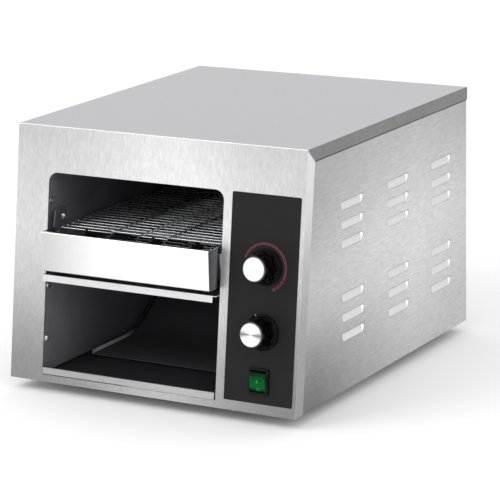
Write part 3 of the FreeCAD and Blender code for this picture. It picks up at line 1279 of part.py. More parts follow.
def build():
    os.makedirs("parts", exist_ok=True)
    right_side = make_right_side_panel()
    upper, lower = tube_places()
    export_node("front_panel", make_front_panel())
    export_node("top_cover", make_top_cover())
    export_node("right_side_panel", right_side)
    export_node("left_side_panel", mirror_x(right_side))
    export_node("rear_panel", make_rear_panel())
    export_node("rear_screws", make_rear_screws())
    export_node("base_plate", make_base_plate())
    export_node("rubber_feet", make_rubber_feet())
    export_node("foot_screws", make_foot_screws())
    left_bushes = [(DRIVE_Y, SHAFT_Z)]
    right_bushes = [(DRIVE_Y, SHAFT_Z), (IDLER_Y, SHAFT_Z)]
    export_node("left_chamber_wall", make_wall(WALL_LEFT - INNER_SHEET, left_bushes))
    export_node("right_chamber_wall", make_wall(WALL_RIGHT, right_bushes))
    export_node("chamber_roof", make_chamber_roof())
    export_node("chamber_back", make_chamber_back())
    export_node("upper_reflector", make_upper_reflector())
    export_node("upper_heater_tubes", make_heaters(upper))
    export_node("upper_heater_coils", make_heater_coils(upper))
    export_node("upper_heater_caps", make_heater_caps(upper))
    export_node("lower_heater_tubes", make_heaters(lower))
    export_node("lower_heater_coils", make_heater_coils(lower))
    export_node("lower_heater_caps", make_heater_caps(lower))
    export_node("feed_apron", make_feed_apron())
    export_node("idler_bracket", make_idler_bracket())
    export_node("crumb_shelf", make_crumb_shelf())
    export_node("toast_chute", make_toast_chute())
    export_node("crumb_tray", make_crumb_tray())
    export_node("tray_runners", make_tray_runners())
    export_node("window_screws", make_window_screws())
    export_node("conveyor_belt", make_conveyor_belt())
    export_node("drive_shaft", make_drive_shaft())
    export_node("drive_sprockets", make_belt_sprockets(DRIVE_Y))
    export_node("drive_shaft_rings", make_drive_rings())
    export_node("chain_wheel", make_chain_wheel())
    export_node("idler_shaft", make_idler_shaft())
    export_node("idler_sprockets", make_belt_sprockets(IDLER_Y))
    export_node("idler_shaft_ring", make_idler_ring())
    export_node("shaft_bushes", make_shaft_bushes())
    export_node("drive_chain", make_drive_chain())
    export_node("motor_pinion", make_motor_pinion())
    export_node("gear_motor", make_gear_motor())
    export_node("motor_plate", make_motor_plate())
    export_node("motor_posts", make_motor_posts())
    export_node("control_panel", make_control_panel())
    export_node("speed_knob", make_knob(SPEED_KNOB_S))
    export_node("speed_knob_cap", make_knob_cap(SPEED_KNOB_S))
    export_node("speed_spindle", make_spindle(SPEED_KNOB_S))
    export_node("speed_control", make_speed_control())
    export_node("heat_knob", make_knob(HEAT_KNOB_S))
    export_node("heat_knob_cap", make_knob_cap(HEAT_KNOB_S))
    export_node("heat_spindle", make_spindle(HEAT_KNOB_S))
    export_node("heat_control", make_heat_control())
    export_node("switch_body", make_switch_body())
    export_node("power_rocker", make_power_rocker())
    export_node("speed_board", make_speed_board())
    export_node("board_posts", make_board_posts())
    export_node("terminal_block", make_terminal_block())
    export_node("cord_gland", make_cord_gland())
    export_node("gland_nut", make_gland_nut())


build()
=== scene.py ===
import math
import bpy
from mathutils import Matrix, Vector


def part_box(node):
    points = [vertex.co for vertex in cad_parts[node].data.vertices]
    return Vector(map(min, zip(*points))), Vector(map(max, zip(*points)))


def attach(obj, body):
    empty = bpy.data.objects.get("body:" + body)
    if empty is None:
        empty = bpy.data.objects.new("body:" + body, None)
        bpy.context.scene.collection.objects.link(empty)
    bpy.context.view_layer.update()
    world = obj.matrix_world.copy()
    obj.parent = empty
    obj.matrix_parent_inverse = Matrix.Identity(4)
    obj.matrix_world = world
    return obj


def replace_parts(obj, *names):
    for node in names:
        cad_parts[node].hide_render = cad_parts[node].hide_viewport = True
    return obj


bl_info = {
    "name": "Conveyor Toaster",
    "version": (1, 0, 0),
    "blender": (4, 5, 0),
    "location": "3D View > Sidebar > Toaster",
    "description": "Dresses the packed conveyor toaster with its steel, belt, knobs and studio",
    "category": "Object",
}

import bmesh
import bpy
from bpy.props import FloatProperty, FloatVectorProperty, IntProperty, PointerProperty
from bpy.types import Operator, Panel, PropertyGroup
from mathutils import Matrix, Vector
from mathutils.geometry import delaunay_2d_cdt

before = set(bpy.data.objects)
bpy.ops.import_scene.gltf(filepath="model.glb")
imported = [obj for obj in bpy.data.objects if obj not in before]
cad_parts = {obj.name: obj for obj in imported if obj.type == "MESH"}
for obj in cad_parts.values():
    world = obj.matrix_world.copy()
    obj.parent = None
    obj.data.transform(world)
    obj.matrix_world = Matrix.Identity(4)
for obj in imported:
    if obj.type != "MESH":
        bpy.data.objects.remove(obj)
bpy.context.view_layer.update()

MM = 0.001
SLANT = math.atan2(45.0, 335.0)
FEET = 15.0
FRONT_FOOT_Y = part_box("top_cover")[1][1] / MM - 510.0
LID_SEAM = 317.5    # foot of the lid's rim
LIP_FOOT = 9.6      # foot of the tray's lip


# Places, all given in millimetres of the case and turned into metres of the row frame

def at(x, y, z):
    """A point of the case: x to the right, y back from the front foot line, z up."""
    return Vector((x, y + FRONT_FOOT_Y, z + FEET)) * MM


def on_front(x, s, out):
    """A point of the slanted front: x to the right, s up the slope, out towards the user."""
    y = s * math.sin(SLANT) - out * math.cos(SLANT)
    z = s * math.cos(SLANT) + out * math.sin(SLANT)
    return at(x, y, z)


FRONT_TURN = Matrix.Rotation(math.radians(90.0) - SLANT, 4, "X")


# Meshes

def new_piece(name, mesh, materials, body="case"):
    for material in materials:
        mesh.materials.append(material)
    piece = bpy.data.objects.new(name, mesh)
    bpy.context.scene.collection.objects.link(piece)
    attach(piece, body)
    return piece


def finish_mesh(bm, name, smooth_angle=35.0):
    bmesh.ops.recalc_face_normals(bm, faces=bm.faces)
    mesh = bpy.data.meshes.new(name)
    bm.to_mesh(mesh)
    bm.free()
    smooth(mesh, smooth_angle)
    return mesh


def smooth(mesh, angle):
    mesh.shade_smooth()
    mesh.set_sharp_from_angle(angle=math.radians(angle))


def merged_copy(node):
    """The node's mesh with its loose triangles joined and its flat areas made whole."""
    bm = bmesh.new()
    bm.from_mesh(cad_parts[node].data)
    bmesh.ops.remove_doubles(bm, verts=bm.verts, dist=2e-6)
    bmesh.ops.dissolve_limit(bm, angle_limit=math.radians(0.6), verts=bm.verts, edges=bm.edges)
    return bm


def baked(piece):
    """Turns a piece with live modifiers into a plain mesh."""
    graph = bpy.context.evaluated_depsgraph_get()
    mesh = bpy.data.meshes.new_from_object(piece.evaluated_get(graph))
    piece.modifiers.clear()
    old = piece.data
    piece.data = mesh
    bpy.data.meshes.remove(old)
    return piece


def softened(bm, name, materials, body, edge, fold=0.0, outer=None, pick=None, angle=30.0,
             segments=2, rim=-1):
    """Rounds the sharp edges of a mesh. Folds between outer faces get a larger radius.

    pick(face) gives a face's material slot, rim the slot of the rounded edges."""
    weight = bm.edges.layers.float.new("bevel_weight_edge")
    largest = max(edge, fold)
    for e in bm.edges:
        if len(e.link_faces) != 2 or e.calc_face_angle(0.0) < math.radians(angle):
            continue
        e[weight] = edge / largest
        if outer and fold > 0.0 and e.calc_length() > 0.02:
            if outer(e.link_faces[0]) and outer(e.link_faces[1]):
                e[weight] = 1.0
    if pick:
        for f in bm.faces:
            f.material_index = pick(f)
    mesh = bpy.data.meshes.new(name)
    bm.to_mesh(mesh)
    bm.free()
    mesh.shade_smooth()
    for material in materials:
        mesh.materials.append(material)
    piece = bpy.data.objects.new(name, mesh)
    bpy.context.scene.collection.objects.link(piece)
    bevel = piece.modifiers.new("Edges", "BEVEL")
    bevel.width = largest * MM
    bevel.segments = segments
    bevel.limit_method = "WEIGHT"
    bevel.miter_outer = "MITER_ARC"
    bevel.material = rim
    even = piece.modifiers.new("Normals", "WEIGHTED_NORMAL")
    even.mode = "FACE_AREA"
    even.weight = 90
    even.keep_sharp = True
    baked(piece)
    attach(piece, body)
    return piece


def rounded_sheet(node, name, materials, body="case", **options):
    """A softened copy of a node that takes its place."""
    edge = options.pop("edge", 0.3)
    piece = softened(merged_copy(node), name, materials, body, edge, **options)
    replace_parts(piece, node)
    return piece


def inside(point, loop):
    hit = False
    x, y = point
    for (x0, y0), (x1, y1) in zip(loop, loop[1:] + loop[:1]):
        if (y0 > y) != (y1 > y) and x < x0 + (y - y0) * (x1 - x0) / (y1 - y0):
            hit = not hit
    return hit


def flat_plate(outline, holes):
    """Triangles that fill an outline round its holes, as 2-D points and index triples."""
    points = []
    edges = []
    for loop in [outline] + holes:
        start = len(points)
        points += [Vector(p) for p in loop]
        edges += [(start + i, start + (i + 1) % len(loop)) for i in range(len(loop))]
    out = delaunay_2d_cdt(points, edges, [], 1, 1e-5)
    kept = []
    for face in out[2]:
        middle = sum((out[0][i] for i in face), Vector((0.0, 0.0))) / len(face)
        if not any(inside(middle, hole) for hole in holes):
            kept.append(tuple(face))
    return [tuple(p) for p in out[0]], kept


def thickened(bm, move):
    """Gives an open sheet its thickness: a second layer moved by a vector, and its edges."""
    border = [e for e in bm.edges if len(e.link_faces) == 1]
    loops = [(e.link_loops[0].vert, e.link_loops[0].link_loop_next.vert) for e in border]
    copies = {v: bm.verts.new(v.co + move) for v in list(bm.verts)}
    for face in list(bm.faces):
        bm.faces.new([copies[v] for v in reversed(face.verts)])
    for a, b in loops:
        bm.faces.new((b, a, copies[a], copies[b]))


def add_block(bm, low, high):
    corners = [(x, y, z) for z in (low[2], high[2]) for y in (low[1], high[1])
               for x in (low[0], high[0])]
    v = [bm.verts.new(c) for c in corners]
    for ring in ((0, 2, 3, 1), (4, 5, 7, 6), (0, 1, 5, 4), (2, 6, 7, 3), (0, 4, 6, 2), (1, 3, 7, 5)):
        bm.faces.new([v[i] for i in ring])


def lathe(profile, steps, name, shape=None):
    """Turns (radius, height) points about the front's own normal axis.

    shape(angle, radius, height) may change a point's radius, for grips with flutes."""
    bm = bmesh.new()
    rings = []
    for radius, height in profile:
        ring = []
        for k in range(steps):
            a = 2.0 * math.pi * k / steps
            r = shape(a, radius, height) if shape else radius
            ring.append(bm.verts.new((r * math.cos(a), r * math.sin(a), height)))
        rings.append(ring)
    for low, high in zip(rings[:-1], rings[1:]):
        for k in range(steps):
            m = (k + 1) % steps
            bm.faces.new((low[k], low[m], high[m], high[k]))
    bm.faces.new(rings[0][::-1])
    bm.faces.new(rings[-1])
    return bm


def place_on_front(bm, x, s, out=0.0):
    """Moves millimetre geometry drawn about the origin onto the slanted front."""
    bmesh.ops.scale(bm, vec=(MM, MM, MM), verts=bm.verts)
    bmesh.ops.transform(bm, matrix=FRONT_TURN, verts=bm.verts)
    bmesh.ops.translate(bm, vec=on_front(x, s, out), verts=bm.verts)


# Geometry Nodes

def new_tree(name, inputs):
    tree = bpy.data.node_groups.new(name, "GeometryNodeTree")
    for label, kind in inputs:
        tree.interface.new_socket(name=label, in_out="INPUT", socket_type=kind)
    tree.interface.new_socket(name="Geometry", in_out="OUTPUT", socket_type="NodeSocketGeometry")
    return tree


def add(tree, kind, **settings):
    node = tree.nodes.new(kind)
    for key, value in settings.items():
        setattr(node, key, value)
    return node


def wire(tree, start, end):
    tree.links.new(start, end)


def run_tree(tree, name, mesh, values):
    """Runs a tree on a mesh and gives the result as a plain mesh object."""
    piece = bpy.data.objects.new(name, mesh)
    bpy.context.scene.collection.objects.link(piece)
    modifier = piece.modifiers.new("Build", "NODES")
    modifier.node_group = tree
    for item in tree.interface.items_tree:
        if item.in_out == "INPUT" and item.name in values:
            modifier[item.identifier] = values[item.name]
    return baked(piece)


def scatter_tree():
    """Puts a copy of an object on every point, turned by the point's own rotation."""
    tree = new_tree("Scatter Copies", [("Points", "NodeSocketGeometry"), ("Shape", "NodeSocketObject"),
                                       ("Finish", "NodeSocketMaterial")])
    source = add(tree, "NodeGroupInput")
    info = add(tree, "GeometryNodeObjectInfo")
    turn = add(tree, "GeometryNodeInputNamedAttribute", data_type="FLOAT_VECTOR")
    turn.inputs["Name"].default_value = "turn"
    copies = add(tree, "GeometryNodeInstanceOnPoints")
    real = add(tree, "GeometryNodeRealizeInstances")
    paint = add(tree, "GeometryNodeSetMaterial")
    out = add(tree, "NodeGroupOutput")
    wire(tree, source.outputs["Points"], copies.inputs["Points"])
    wire(tree, source.outputs["Shape"], info.inputs["Object"])
    wire(tree, info.outputs["Geometry"], copies.inputs["Instance"])
    wire(tree, turn.outputs["Attribute"], copies.inputs["Rotation"])
    wire(tree, copies.outputs["Instances"], real.inputs["Geometry"])
    wire(tree, real.outputs["Geometry"], paint.inputs["Geometry"])
    wire(tree, source.outputs["Finish"], paint.inputs["Material"])
    wire(tree, paint.outputs["Geometry"], out.inputs["Geometry"])
    return tree


def points_mesh(name, places, turns):
    mesh = bpy.data.meshes.new(name)
    mesh.from_pydata([tuple(p) for p in places], [], [])
    attribute = mesh.attributes.new("turn", "FLOAT_VECTOR", "POINT")
    for item, turn in zip(attribute.data, turns):
        item.vector = turn
    return mesh


def scattered(name, shape_mesh, places, turns, material, body="case", nodes=()):
    """One piece made of copies of a small mesh."""
    shape = bpy.data.objects.new(name + "_shape", shape_mesh)
    bpy.context.scene.collection.objects.link(shape)
    tree = bpy.data.node_groups.get("Scatter Copies") or scatter_tree()
    piece = run_tree(tree, name, points_mesh(name + "_points", places, turns),
                     {"Shape": shape, "Finish": material})
    bpy.data.objects.remove(shape)
    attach(piece, body)
    if nodes:
        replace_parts(piece, *nodes)
    return piece


def tube_tree():
    """Gives a path of edges rounded corners and a round section."""
    tree = new_tree("Bent Wire", [("Path", "NodeSocketGeometry"), ("Radius", "NodeSocketFloat"),
                                  ("Bend", "NodeSocketFloat"), ("Sides", "NodeSocketInt"),
                                  ("Bend Steps", "NodeSocketInt"), ("Finish", "NodeSocketMaterial")])
    source = add(tree, "NodeGroupInput")
    curve = add(tree, "GeometryNodeMeshToCurve")
    fillet = add(tree, "GeometryNodeFilletCurve")
    mode = fillet.inputs.get("Mode")
    if mode is None:
        fillet.mode = "POLY"
    else:
        mode.default_value = "Poly"
    fillet.inputs["Limit Radius"].default_value = True
    section = add(tree, "GeometryNodeCurvePrimitiveCircle")
    sweep = add(tree, "GeometryNodeCurveToMesh")
    sweep.inputs["Fill Caps"].default_value = True
    soft = add(tree, "GeometryNodeSetShadeSmooth")
    real = add(tree, "GeometryNodeRealizeInstances")
    paint = add(tree, "GeometryNodeSetMaterial")
    out = add(tree, "NodeGroupOutput")
    wire(tree, source.outputs["Path"], curve.inputs["Mesh"])
    wire(tree, curve.outputs["Curve"], fillet.inputs["Curve"])
    wire(tree, source.outputs["Bend"], fillet.inputs["Radius"])
    wire(tree, source.outputs["Bend Steps"], fillet.inputs["Count"])
    wire(tree, source.outputs["Sides"], section.inputs["Resolution"])
    wire(tree, source.outputs["Radius"], section.inputs["Radius"])
    wire(tree, fillet.outputs["Curve"], sweep.inputs["Curve"])
    wire(tree, section.outputs["Curve"], sweep.inputs["Profile Curve"])
    wire(tree, sweep.outputs["Mesh"], soft.inputs["Geometry"])
    wire(tree, soft.outputs["Geometry"], real.inputs["Geometry"])
    wire(tree, real.outputs["Geometry"], paint.inputs["Geometry"])
    wire(tree, source.outputs["Finish"], paint.inputs["Material"])
    wire(tree, paint.outputs["Geometry"], out.inputs["Geometry"])
    return tree


def tube_mesh(name, paths, radius, bend, sides, steps, material):
    """A plain mesh of round wires that follow the given paths, in metres."""
    mesh = bpy.data.meshes.new(name + "_path")
    points = []
    edges = []
    for path in paths:
        start = len(points)
        points += [tuple(p) for p in path]
        edges += [(start + i, start + i + 1) for i in range(len(path) - 1)]
    mesh.from_pydata(points, edges, [])
    tree = bpy.data.node_groups.get("Bent Wire") or tube_tree()
    piece = run_tree(tree, name, mesh, {"Radius": radius, "Bend": bend, "Sides": sides,
                                        "Bend Steps": steps, "Finish": material})
    return piece


# Materials

def new_material(name):
    material = bpy.data.materials.new(name)
    material.use_nodes = True
    tree = material.node_tree
    tree.nodes.clear()
    out = tree.nodes.new("ShaderNodeOutputMaterial")
    shader = tree.nodes.new("ShaderNodeBsdfPrincipled")
    tree.links.new(shader.outputs["BSDF"], out.inputs["Surface"])
    return material, tree, shader


def grain_noise(tree, scale, detail=3.0, roughness=0.55):
    """Noise in object coordinates, stretched by a scale per axis, in cycles per metre."""
    place = add(tree, "ShaderNodeTexCoord")
    mapping = add(tree, "ShaderNodeMapping")
    mapping.inputs["Scale"].default_value = scale
    noise = add(tree, "ShaderNodeTexNoise")
    noise.inputs["Scale"].default_value = 1.0
    noise.inputs["Detail"].default_value = detail
    noise.inputs["Roughness"].default_value = roughness
    wire(tree, place.outputs["Object"], mapping.inputs["Vector"])
    wire(tree, mapping.outputs["Vector"], noise.inputs["Vector"])
    return noise.outputs["Fac"]


def spread(tree, source, low, high, from_low=0.3, from_high=0.7):
    """Maps one range of a value onto low to high. The default range is a noise's middle."""
    scale = add(tree, "ShaderNodeMapRange")
    for name, value in (("From Min", from_low), ("From Max", from_high), ("To Min", low),
                        ("To Max", high)):
        scale.inputs[name].default_value = value
    wire(tree, source, scale.inputs["Value"])
    return scale.outputs["Result"]


def calc(tree, operation, first, second):
    """Joins two values, each a number or a socket, by one sum."""
    node = add(tree, "ShaderNodeMath", operation=operation)
    for socket, value in zip(node.inputs, (first, second)):
        if isinstance(value, float):
            socket.default_value = value
        else:
            wire(tree, value, socket)
    return node.outputs["Value"]


def coordinate(tree, axis, low, high):
    """How far a point lies from one place of the case to another, from 0 to 1."""
    place = add(tree, "ShaderNodeTexCoord")
    split = add(tree, "ShaderNodeSeparateXYZ")
    wire(tree, place.outputs["Object"], split.inputs["Vector"])
    shift = {"X": 0.0, "Y": FRONT_FOOT_Y, "Z": FEET}[axis]
    return spread(tree, split.outputs[axis], 0.0, 1.0, (low + shift) * MM, (high + shift) * MM)


def ramp(tree, source, *stops):
    """A smooth factor through (place, value) stops, the places running from 0 to 1."""
    node = add(tree, "ShaderNodeValToRGB")
    node.color_ramp.interpolation = "B_SPLINE"
    first, last = node.color_ramp.elements
    first.color = (stops[0][1],) * 3 + (1.0,)
    last.color = (stops[-1][1],) * 3 + (1.0,)
    for place, value in stops[1:-1]:
        node.color_ramp.elements.new(place).color = (value,) * 3 + (1.0,)
    wire(tree, source, node.inputs["Fac"])
    return node.outputs["Color"]


def times(tree, colour, factor):
    """A colour made lighter or darker by a factor."""
    mix = add(tree, "ShaderNodeMix", data_type="RGBA", blend_type="MULTIPLY")
    mix.inputs["Factor"].default_value = 1.0
    if isinstance(colour, tuple):
        mix.inputs["A"].default_value = (*colour, 1.0)
    else:
        wire(tree, colour, mix.inputs["A"])
    wire(tree, factor, mix.inputs["B"])
    return mix.outputs["Result"]


def blend(tree, first, second, factor):
    """Goes from one colour to another. Each is a socket or three numbers."""
    mix = add(tree, "ShaderNodeMix", data_type="RGBA")
    for name, colour in (("A", first), ("B", second)):
        if isinstance(colour, tuple):
            mix.inputs[name].default_value = (*colour, 1.0)
        else:
            wire(tree, colour, mix.inputs[name])
    wire(tree, factor, mix.inputs["Factor"])
    return mix.outputs["Result"]


def scaled(colour, factor):
    return tuple(min(1.0, c * factor) for c in colour)


def relief(tree, shader, height, strength, distance=0.0001):
    bump = add(tree, "ShaderNodeBump")
    bump.inputs["Strength"].default_value = strength
    bump.inputs["Distance"].default_value = distance
    wire(tree, height, bump.inputs["Height"])
    wire(tree, bump.outputs["Normal"], shader.inputs["Normal"])


def along(axis, length, width):
    """Noise scale per axis for marks of a length and a width in millimetres."""
    return tuple(1000.0 / (length if name == axis else width) for name in "XYZ")


def brushed_steel(name, colour, grain, roughness, contrast=0.06, tone=None, paint=None, bump=0.1):
    """Stainless sheet brushed along one axis.

    tone(tree) gives a soft factor of painted light and shade over the sheet, paint(tree, colour) may
    colour its parts with painted light and shade."""
    material, tree, shader = new_material(name)
    fine = grain_noise(tree, along(grain, 14.0, 0.7), 3.0, 0.6)
    marks = grain_noise(tree, along(grain, 16.0, 2.6), 3.0, 0.6)
    cloud = grain_noise(tree, (26.0, 26.0, 26.0), 3.0, 0.55)
    base = times(tree, tuple(colour), spread(tree, fine, 1.0 - contrast, 1.0 + contrast))
    base = times(tree, base, spread(tree, marks, 1.0 - contrast, 1.0 + contrast))
    base = times(tree, base, spread(tree, cloud, 1.0 - contrast / 3.0, 1.0 + contrast / 3.0))
    if tone:
        base = times(tree, base, tone(tree))
    if paint:
        base = paint(tree, base)
    wire(tree, base, shader.inputs["Base Color"])
    shader.inputs["Metallic"].default_value = 1.0
    wire(tree, spread(tree, fine, roughness - 0.04, roughness + 0.06), shader.inputs["Roughness"])
    relief(tree, shader, fine, bump)
    return material


def heated_sheet(name, colour, roughness=0.5, tone=None, tint=0.12):
    """Dark sheet inside the machine, dulled and clouded by heat."""
    material, tree, shader = new_material(name)
    stain = grain_noise(tree, (18.0, 18.0, 18.0), 4.0, 0.6)
    fine = grain_noise(tree, along("X", 12.0, 1.2), 3.0, 0.6)
    base = blend(tree, scaled(colour, 1.0 - tint), scaled(colour, 1.0 + tint),
                 spread(tree, stain, 0.0, 1.0))
    base = times(tree, base, spread(tree, fine, 0.93, 1.07))
    # tone is a factor of painted light and shade.
    if tone:
        base = times(tree, base, tone(tree))
    wire(tree, base, shader.inputs["Base Color"])
    shader.inputs["Metallic"].default_value = 0.15
    shader.inputs["Specular IOR Level"].default_value = 0.15
    wire(tree, spread(tree, stain, roughness - 0.06, roughness + 0.08), shader.inputs["Roughness"])
    return material


def moulded(name, colour, roughness, mottle=0.06, bump=0.15, grain=900.0, coat=0.0, specular=0.5):
    """Moulded plastic, rubber or film with a fine surface and a little variation."""
    material, tree, shader = new_material(name)
    fine = grain_noise(tree, (grain, grain, grain), 3.0, 0.6)
    cloud = grain_noise(tree, (30.0, 30.0, 30.0), 2.0, 0.5)
    base = blend(tree, scaled(colour, 1 - mottle), scaled(colour, 1 + mottle),
                 spread(tree, cloud, 0.0, 1.0))
    wire(tree, base, shader.inputs["Base Color"])
    wire(tree, spread(tree, fine, max(0.02, roughness - 0.05), roughness + 0.07),
         shader.inputs["Roughness"])
    shader.inputs["Coat Weight"].default_value = coat
    shader.inputs["Coat Roughness"].default_value = 0.08
    shader.inputs["Specular IOR Level"].default_value = specular
    relief(tree, shader, fine, bump)
    return material


def turned_metal(name, colour, roughness, stain=0.15):
    """Plain machined or plated metal with faint marks of use."""
    material, tree, shader = new_material(name)
    marks = grain_noise(tree, (220.0, 900.0, 900.0), 4.0, 0.65)
    cloud = grain_noise(tree, (45.0, 45.0, 45.0), 3.0, 0.6)
    base = blend(tree, scaled(colour, 1 - stain), scaled(colour, 1 + stain),
                 spread(tree, cloud, 0.0, 1.0))
    wire(tree, base, shader.inputs["Base Color"])
    shader.inputs["Metallic"].default_value = 1.0
    wire(tree, spread(tree, marks, max(0.05, roughness - 0.06), roughness + 0.1),
         shader.inputs["Roughness"])
    return material


def spun_cap(name, colour, wedge):
    """Aluminium faced in a lathe: rings about its own centre, and two darker wedges of painted
    reflection.
    """
    material, tree, shader = new_material(name)
    place = add(tree, "ShaderNodeUVMap", uv_map="spin")
    mapping = add(tree, "ShaderNodeMapping")
    mapping.inputs["Scale"].default_value = (2.0, 60.0, 1.0)
    rings = add(tree, "ShaderNodeTexNoise")
    rings.inputs["Scale"].default_value = 1.0
    rings.inputs["Detail"].default_value = 3.0
    wire(tree, place.outputs["UV"], mapping.inputs["Vector"])
    wire(tree, mapping.outputs["Vector"], rings.inputs["Vector"])
    base = blend(tree, scaled(colour, 0.94), scaled(colour, 1.05),
                 spread(tree, rings.outputs["Fac"], 0.0, 1.0))
    split = add(tree, "ShaderNodeSeparateXYZ")
    wire(tree, place.outputs["UV"], split.inputs["Vector"])
    # Painted reflection: two opposite sectors are darkened.
    turn = calc(tree, "FRACT", calc(tree, "MULTIPLY", split.outputs["X"], 2.0), 0.0)
    shade = ramp(tree, turn, (0.0, wedge), (0.07, (1.0 + wedge) / 2.0), (0.14, 1.0), (0.86, 1.0),
                 (0.93, (1.0 + wedge) / 2.0), (1.0, wedge))
    wire(tree, times(tree, base, shade), shader.inputs["Base Color"])
    shader.inputs["Metallic"].default_value = 1.0
    shader.inputs["Roughness"].default_value = 0.3
    shader.inputs["Anisotropic"].default_value = 0.8
    tangent = add(tree, "ShaderNodeTangent", direction_type="UV_MAP", uv_map="spin")
    wire(tree, tangent.outputs["Tangent"], shader.inputs["Tangent"])
    return material


def clear_glass(name, colour, roughness=0.04):
    material, tree, shader = new_material(name)
    haze = grain_noise(tree, (60.0, 200.0, 200.0), 3.0, 0.6)
    shader.inputs["Base Color"].default_value = (*colour, 1.0)
    shader.inputs["Transmission Weight"].default_value = 0.85
    shader.inputs["IOR"].default_value = 1.46
    wire(tree, spread(tree, haze, roughness, roughness + 0.12), shader.inputs["Roughness"])
    return material


def lit_rocker(name, colour, low, high):
    """Clear tinted plastic of a rocker, with painted shade along its upper edge and a painted paler
    reflection below.
    """
    material, tree, shader = new_material(name)
    fine = grain_noise(tree, (260.0, 260.0, 260.0), 2.0, 0.5)
    base = blend(tree, scaled(colour, 0.8), scaled(colour, 1.25), spread(tree, fine, 0.0, 1.0))
    shade = ramp(tree, coordinate(tree, "Z", low, high), (0.0, 0.55), (0.15, 0.9), (0.5, 0.85),
                 (0.66, 0.7), (0.78, 0.3), (1.0, 0.1))
    wire(tree, times(tree, base, shade), shader.inputs["Base Color"])
    shader.inputs["Roughness"].default_value = 0.3
    shader.inputs["Specular IOR Level"].default_value = 0.03
    return material


def material_named(name):
    return bpy.data.materials[name]


def paint_node(node, material):
    """Gives a CAD node that keeps its shape a better material."""
    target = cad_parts[node]
    if not target.material_slots:
        target.data.materials.append(material)
    for slot in target.material_slots:
        slot.material = material


# Soft tones over the sheets, as a studio's dark and light walls leave them

def front_painted_light(tree):
    """Painted light and shade: lighter in the middle and near the top, painted shade to the foot and the
    sides.
    """
    height = coordinate(tree, "Z", 0.0, 335.0)
    fall = ramp(tree, height, (0.0, 0.40), (0.08, 0.42), (0.16, 0.49), (0.25, 0.60), (0.33, 0.74),
                (0.45, 0.87), (0.58, 0.99), (0.68, 1.0), (0.84, 0.93), (1.0, 0.86))
    middle = ramp(tree, coordinate(tree, "X", -195.0, 222.0), (0.0, 0.0), (0.24, 0.25), (0.42, 1.0),
                  (0.60, 1.0), (0.78, 0.25), (1.0, 0.0))
    lift = spread(tree, height, 0.95, 0.34, 0.0, 0.4)
    soft = calc(tree, "MULTIPLY", coordinate(tree, "X", 90.0, 140.0),
                ramp(tree, height, (0.0, 0.0), (0.12, 0.16), (0.35, 0.25), (0.5, 0.12),
                     (0.64, 0.0), (1.0, 0.0)))
    fall = calc(tree, "MULTIPLY", fall, calc(tree, "SUBTRACT", 1.0, soft))
    lift = calc(tree, "ADD", calc(tree, "MULTIPLY", middle, lift), 1.0)
    return calc(tree, "MULTIPLY", fall, lift)


def return_painted_light(tree):
    """The strip where the front turns round the side: painted light at the top, painted shade below."""
    return ramp(tree, coordinate(tree, "Z", 0.0, 335.0), (0.0, 0.56), (0.2, 0.52), (0.4, 0.55),
                (0.6, 0.70), (0.75, 0.93), (0.9, 1.0), (1.0, 1.0))


def side_painted_light(tree):
    """Painted light and shade: a light band at middle height, painted shade above, below, in the lower
    front corner and towards the rear, and a painted shadow line under the lid's rim.
    """
    height = coordinate(tree, "Z", 0.0, 335.0)
    fall = ramp(tree, height, (0.0, 0.90), (0.08, 0.90), (0.17, 0.92), (0.27, 0.95), (0.37, 0.985),
                (0.48, 1.0), (0.57, 1.0), (0.67, 0.93), (0.78, 0.84), (0.88, 0.76), (1.0, 0.68))
    corner = ramp(tree, height, (0.0, 0.62), (0.12, 0.56), (0.24, 0.42), (0.34, 0.26), (0.47, 0.15),
                  (0.60, 0.25), (0.80, 0.28), (0.93, 0.16), (1.0, 0.12))
    near = calc(tree, "POWER", coordinate(tree, "Y", 330.0, 60.0), 1.3)
    far = spread(tree, coordinate(tree, "Y", 360.0, 510.0), 1.0, 0.89, 0.0, 1.0)
    dark = calc(tree, "SUBTRACT", 1.0, calc(tree, "MULTIPLY", corner, near))
    # A painted shadow band just below the foot of the lid's rim.
    rim_shadow = spread(tree, coordinate(tree, "Z", LID_SEAM - 1.9, LID_SEAM - 1.3), 1.0, 0.12, 0.0, 1.0)
    return calc(tree, "MULTIPLY", calc(tree, "MULTIPLY", fall, dark),
                calc(tree, "MULTIPLY", far, rim_shadow))


def rim_foot_painted_shadow(tree):
    """A painted shadow line along the foot of the lid's rim."""
    return spread(tree, coordinate(tree, "Z", LID_SEAM + 0.3, LID_SEAM + 0.9), 0.35, 1.0, 0.0, 1.0)


def wall_tone(tree):
    """Lightest at the front, where the room shines in."""
    return ramp(tree, coordinate(tree, "Y", 0.0, 200.0), (0.0, 1.0), (0.3, 0.92), (0.6, 0.72),
                (1.0, 0.7))


def chute_edge_tone(tree):
    """A streak of light on the lower part of the chute's edge."""
    return ramp(tree, coordinate(tree, "Y", 90.0, 270.0), (0.0, 0.0), (0.10, 0.9), (0.2, 1.0),
                (0.5, 0.9), (0.6, 0.3), (0.68, 0.05), (1.0, 0.05))


def louvre_painted_light(tree, base):
    """Painted light and shade on the louvres: painted lighter faces, painted highlights on their ends
    and a painted shade line round them.
    """
    pressed = add(tree, "ShaderNodeAttribute", attribute_name="pressed").outputs["Fac"]
    base = blend(tree, base, (0.16, 0.16, 0.165), spread(tree, pressed, 0.0, 1.0, 0.0, -1.0))
    base = blend(tree, base, (0.72, 0.72, 0.725), spread(tree, pressed, 0.0, 1.0, 0.0, 1.0))
    return blend(tree, base, (1.0, 1.0, 1.0), spread(tree, pressed, 0.0, 1.0, 1.0, 2.0))


def apron_painted_light(tree):
    """Painted light: plain steel at the left end, painted lighter towards white at the right."""
    return ramp(tree, coordinate(tree, "X", -155.0, 45.0), (0.0, 0.56), (0.22, 0.74), (0.42, 0.90),
                (0.7, 0.98), (1.0, 1.0))


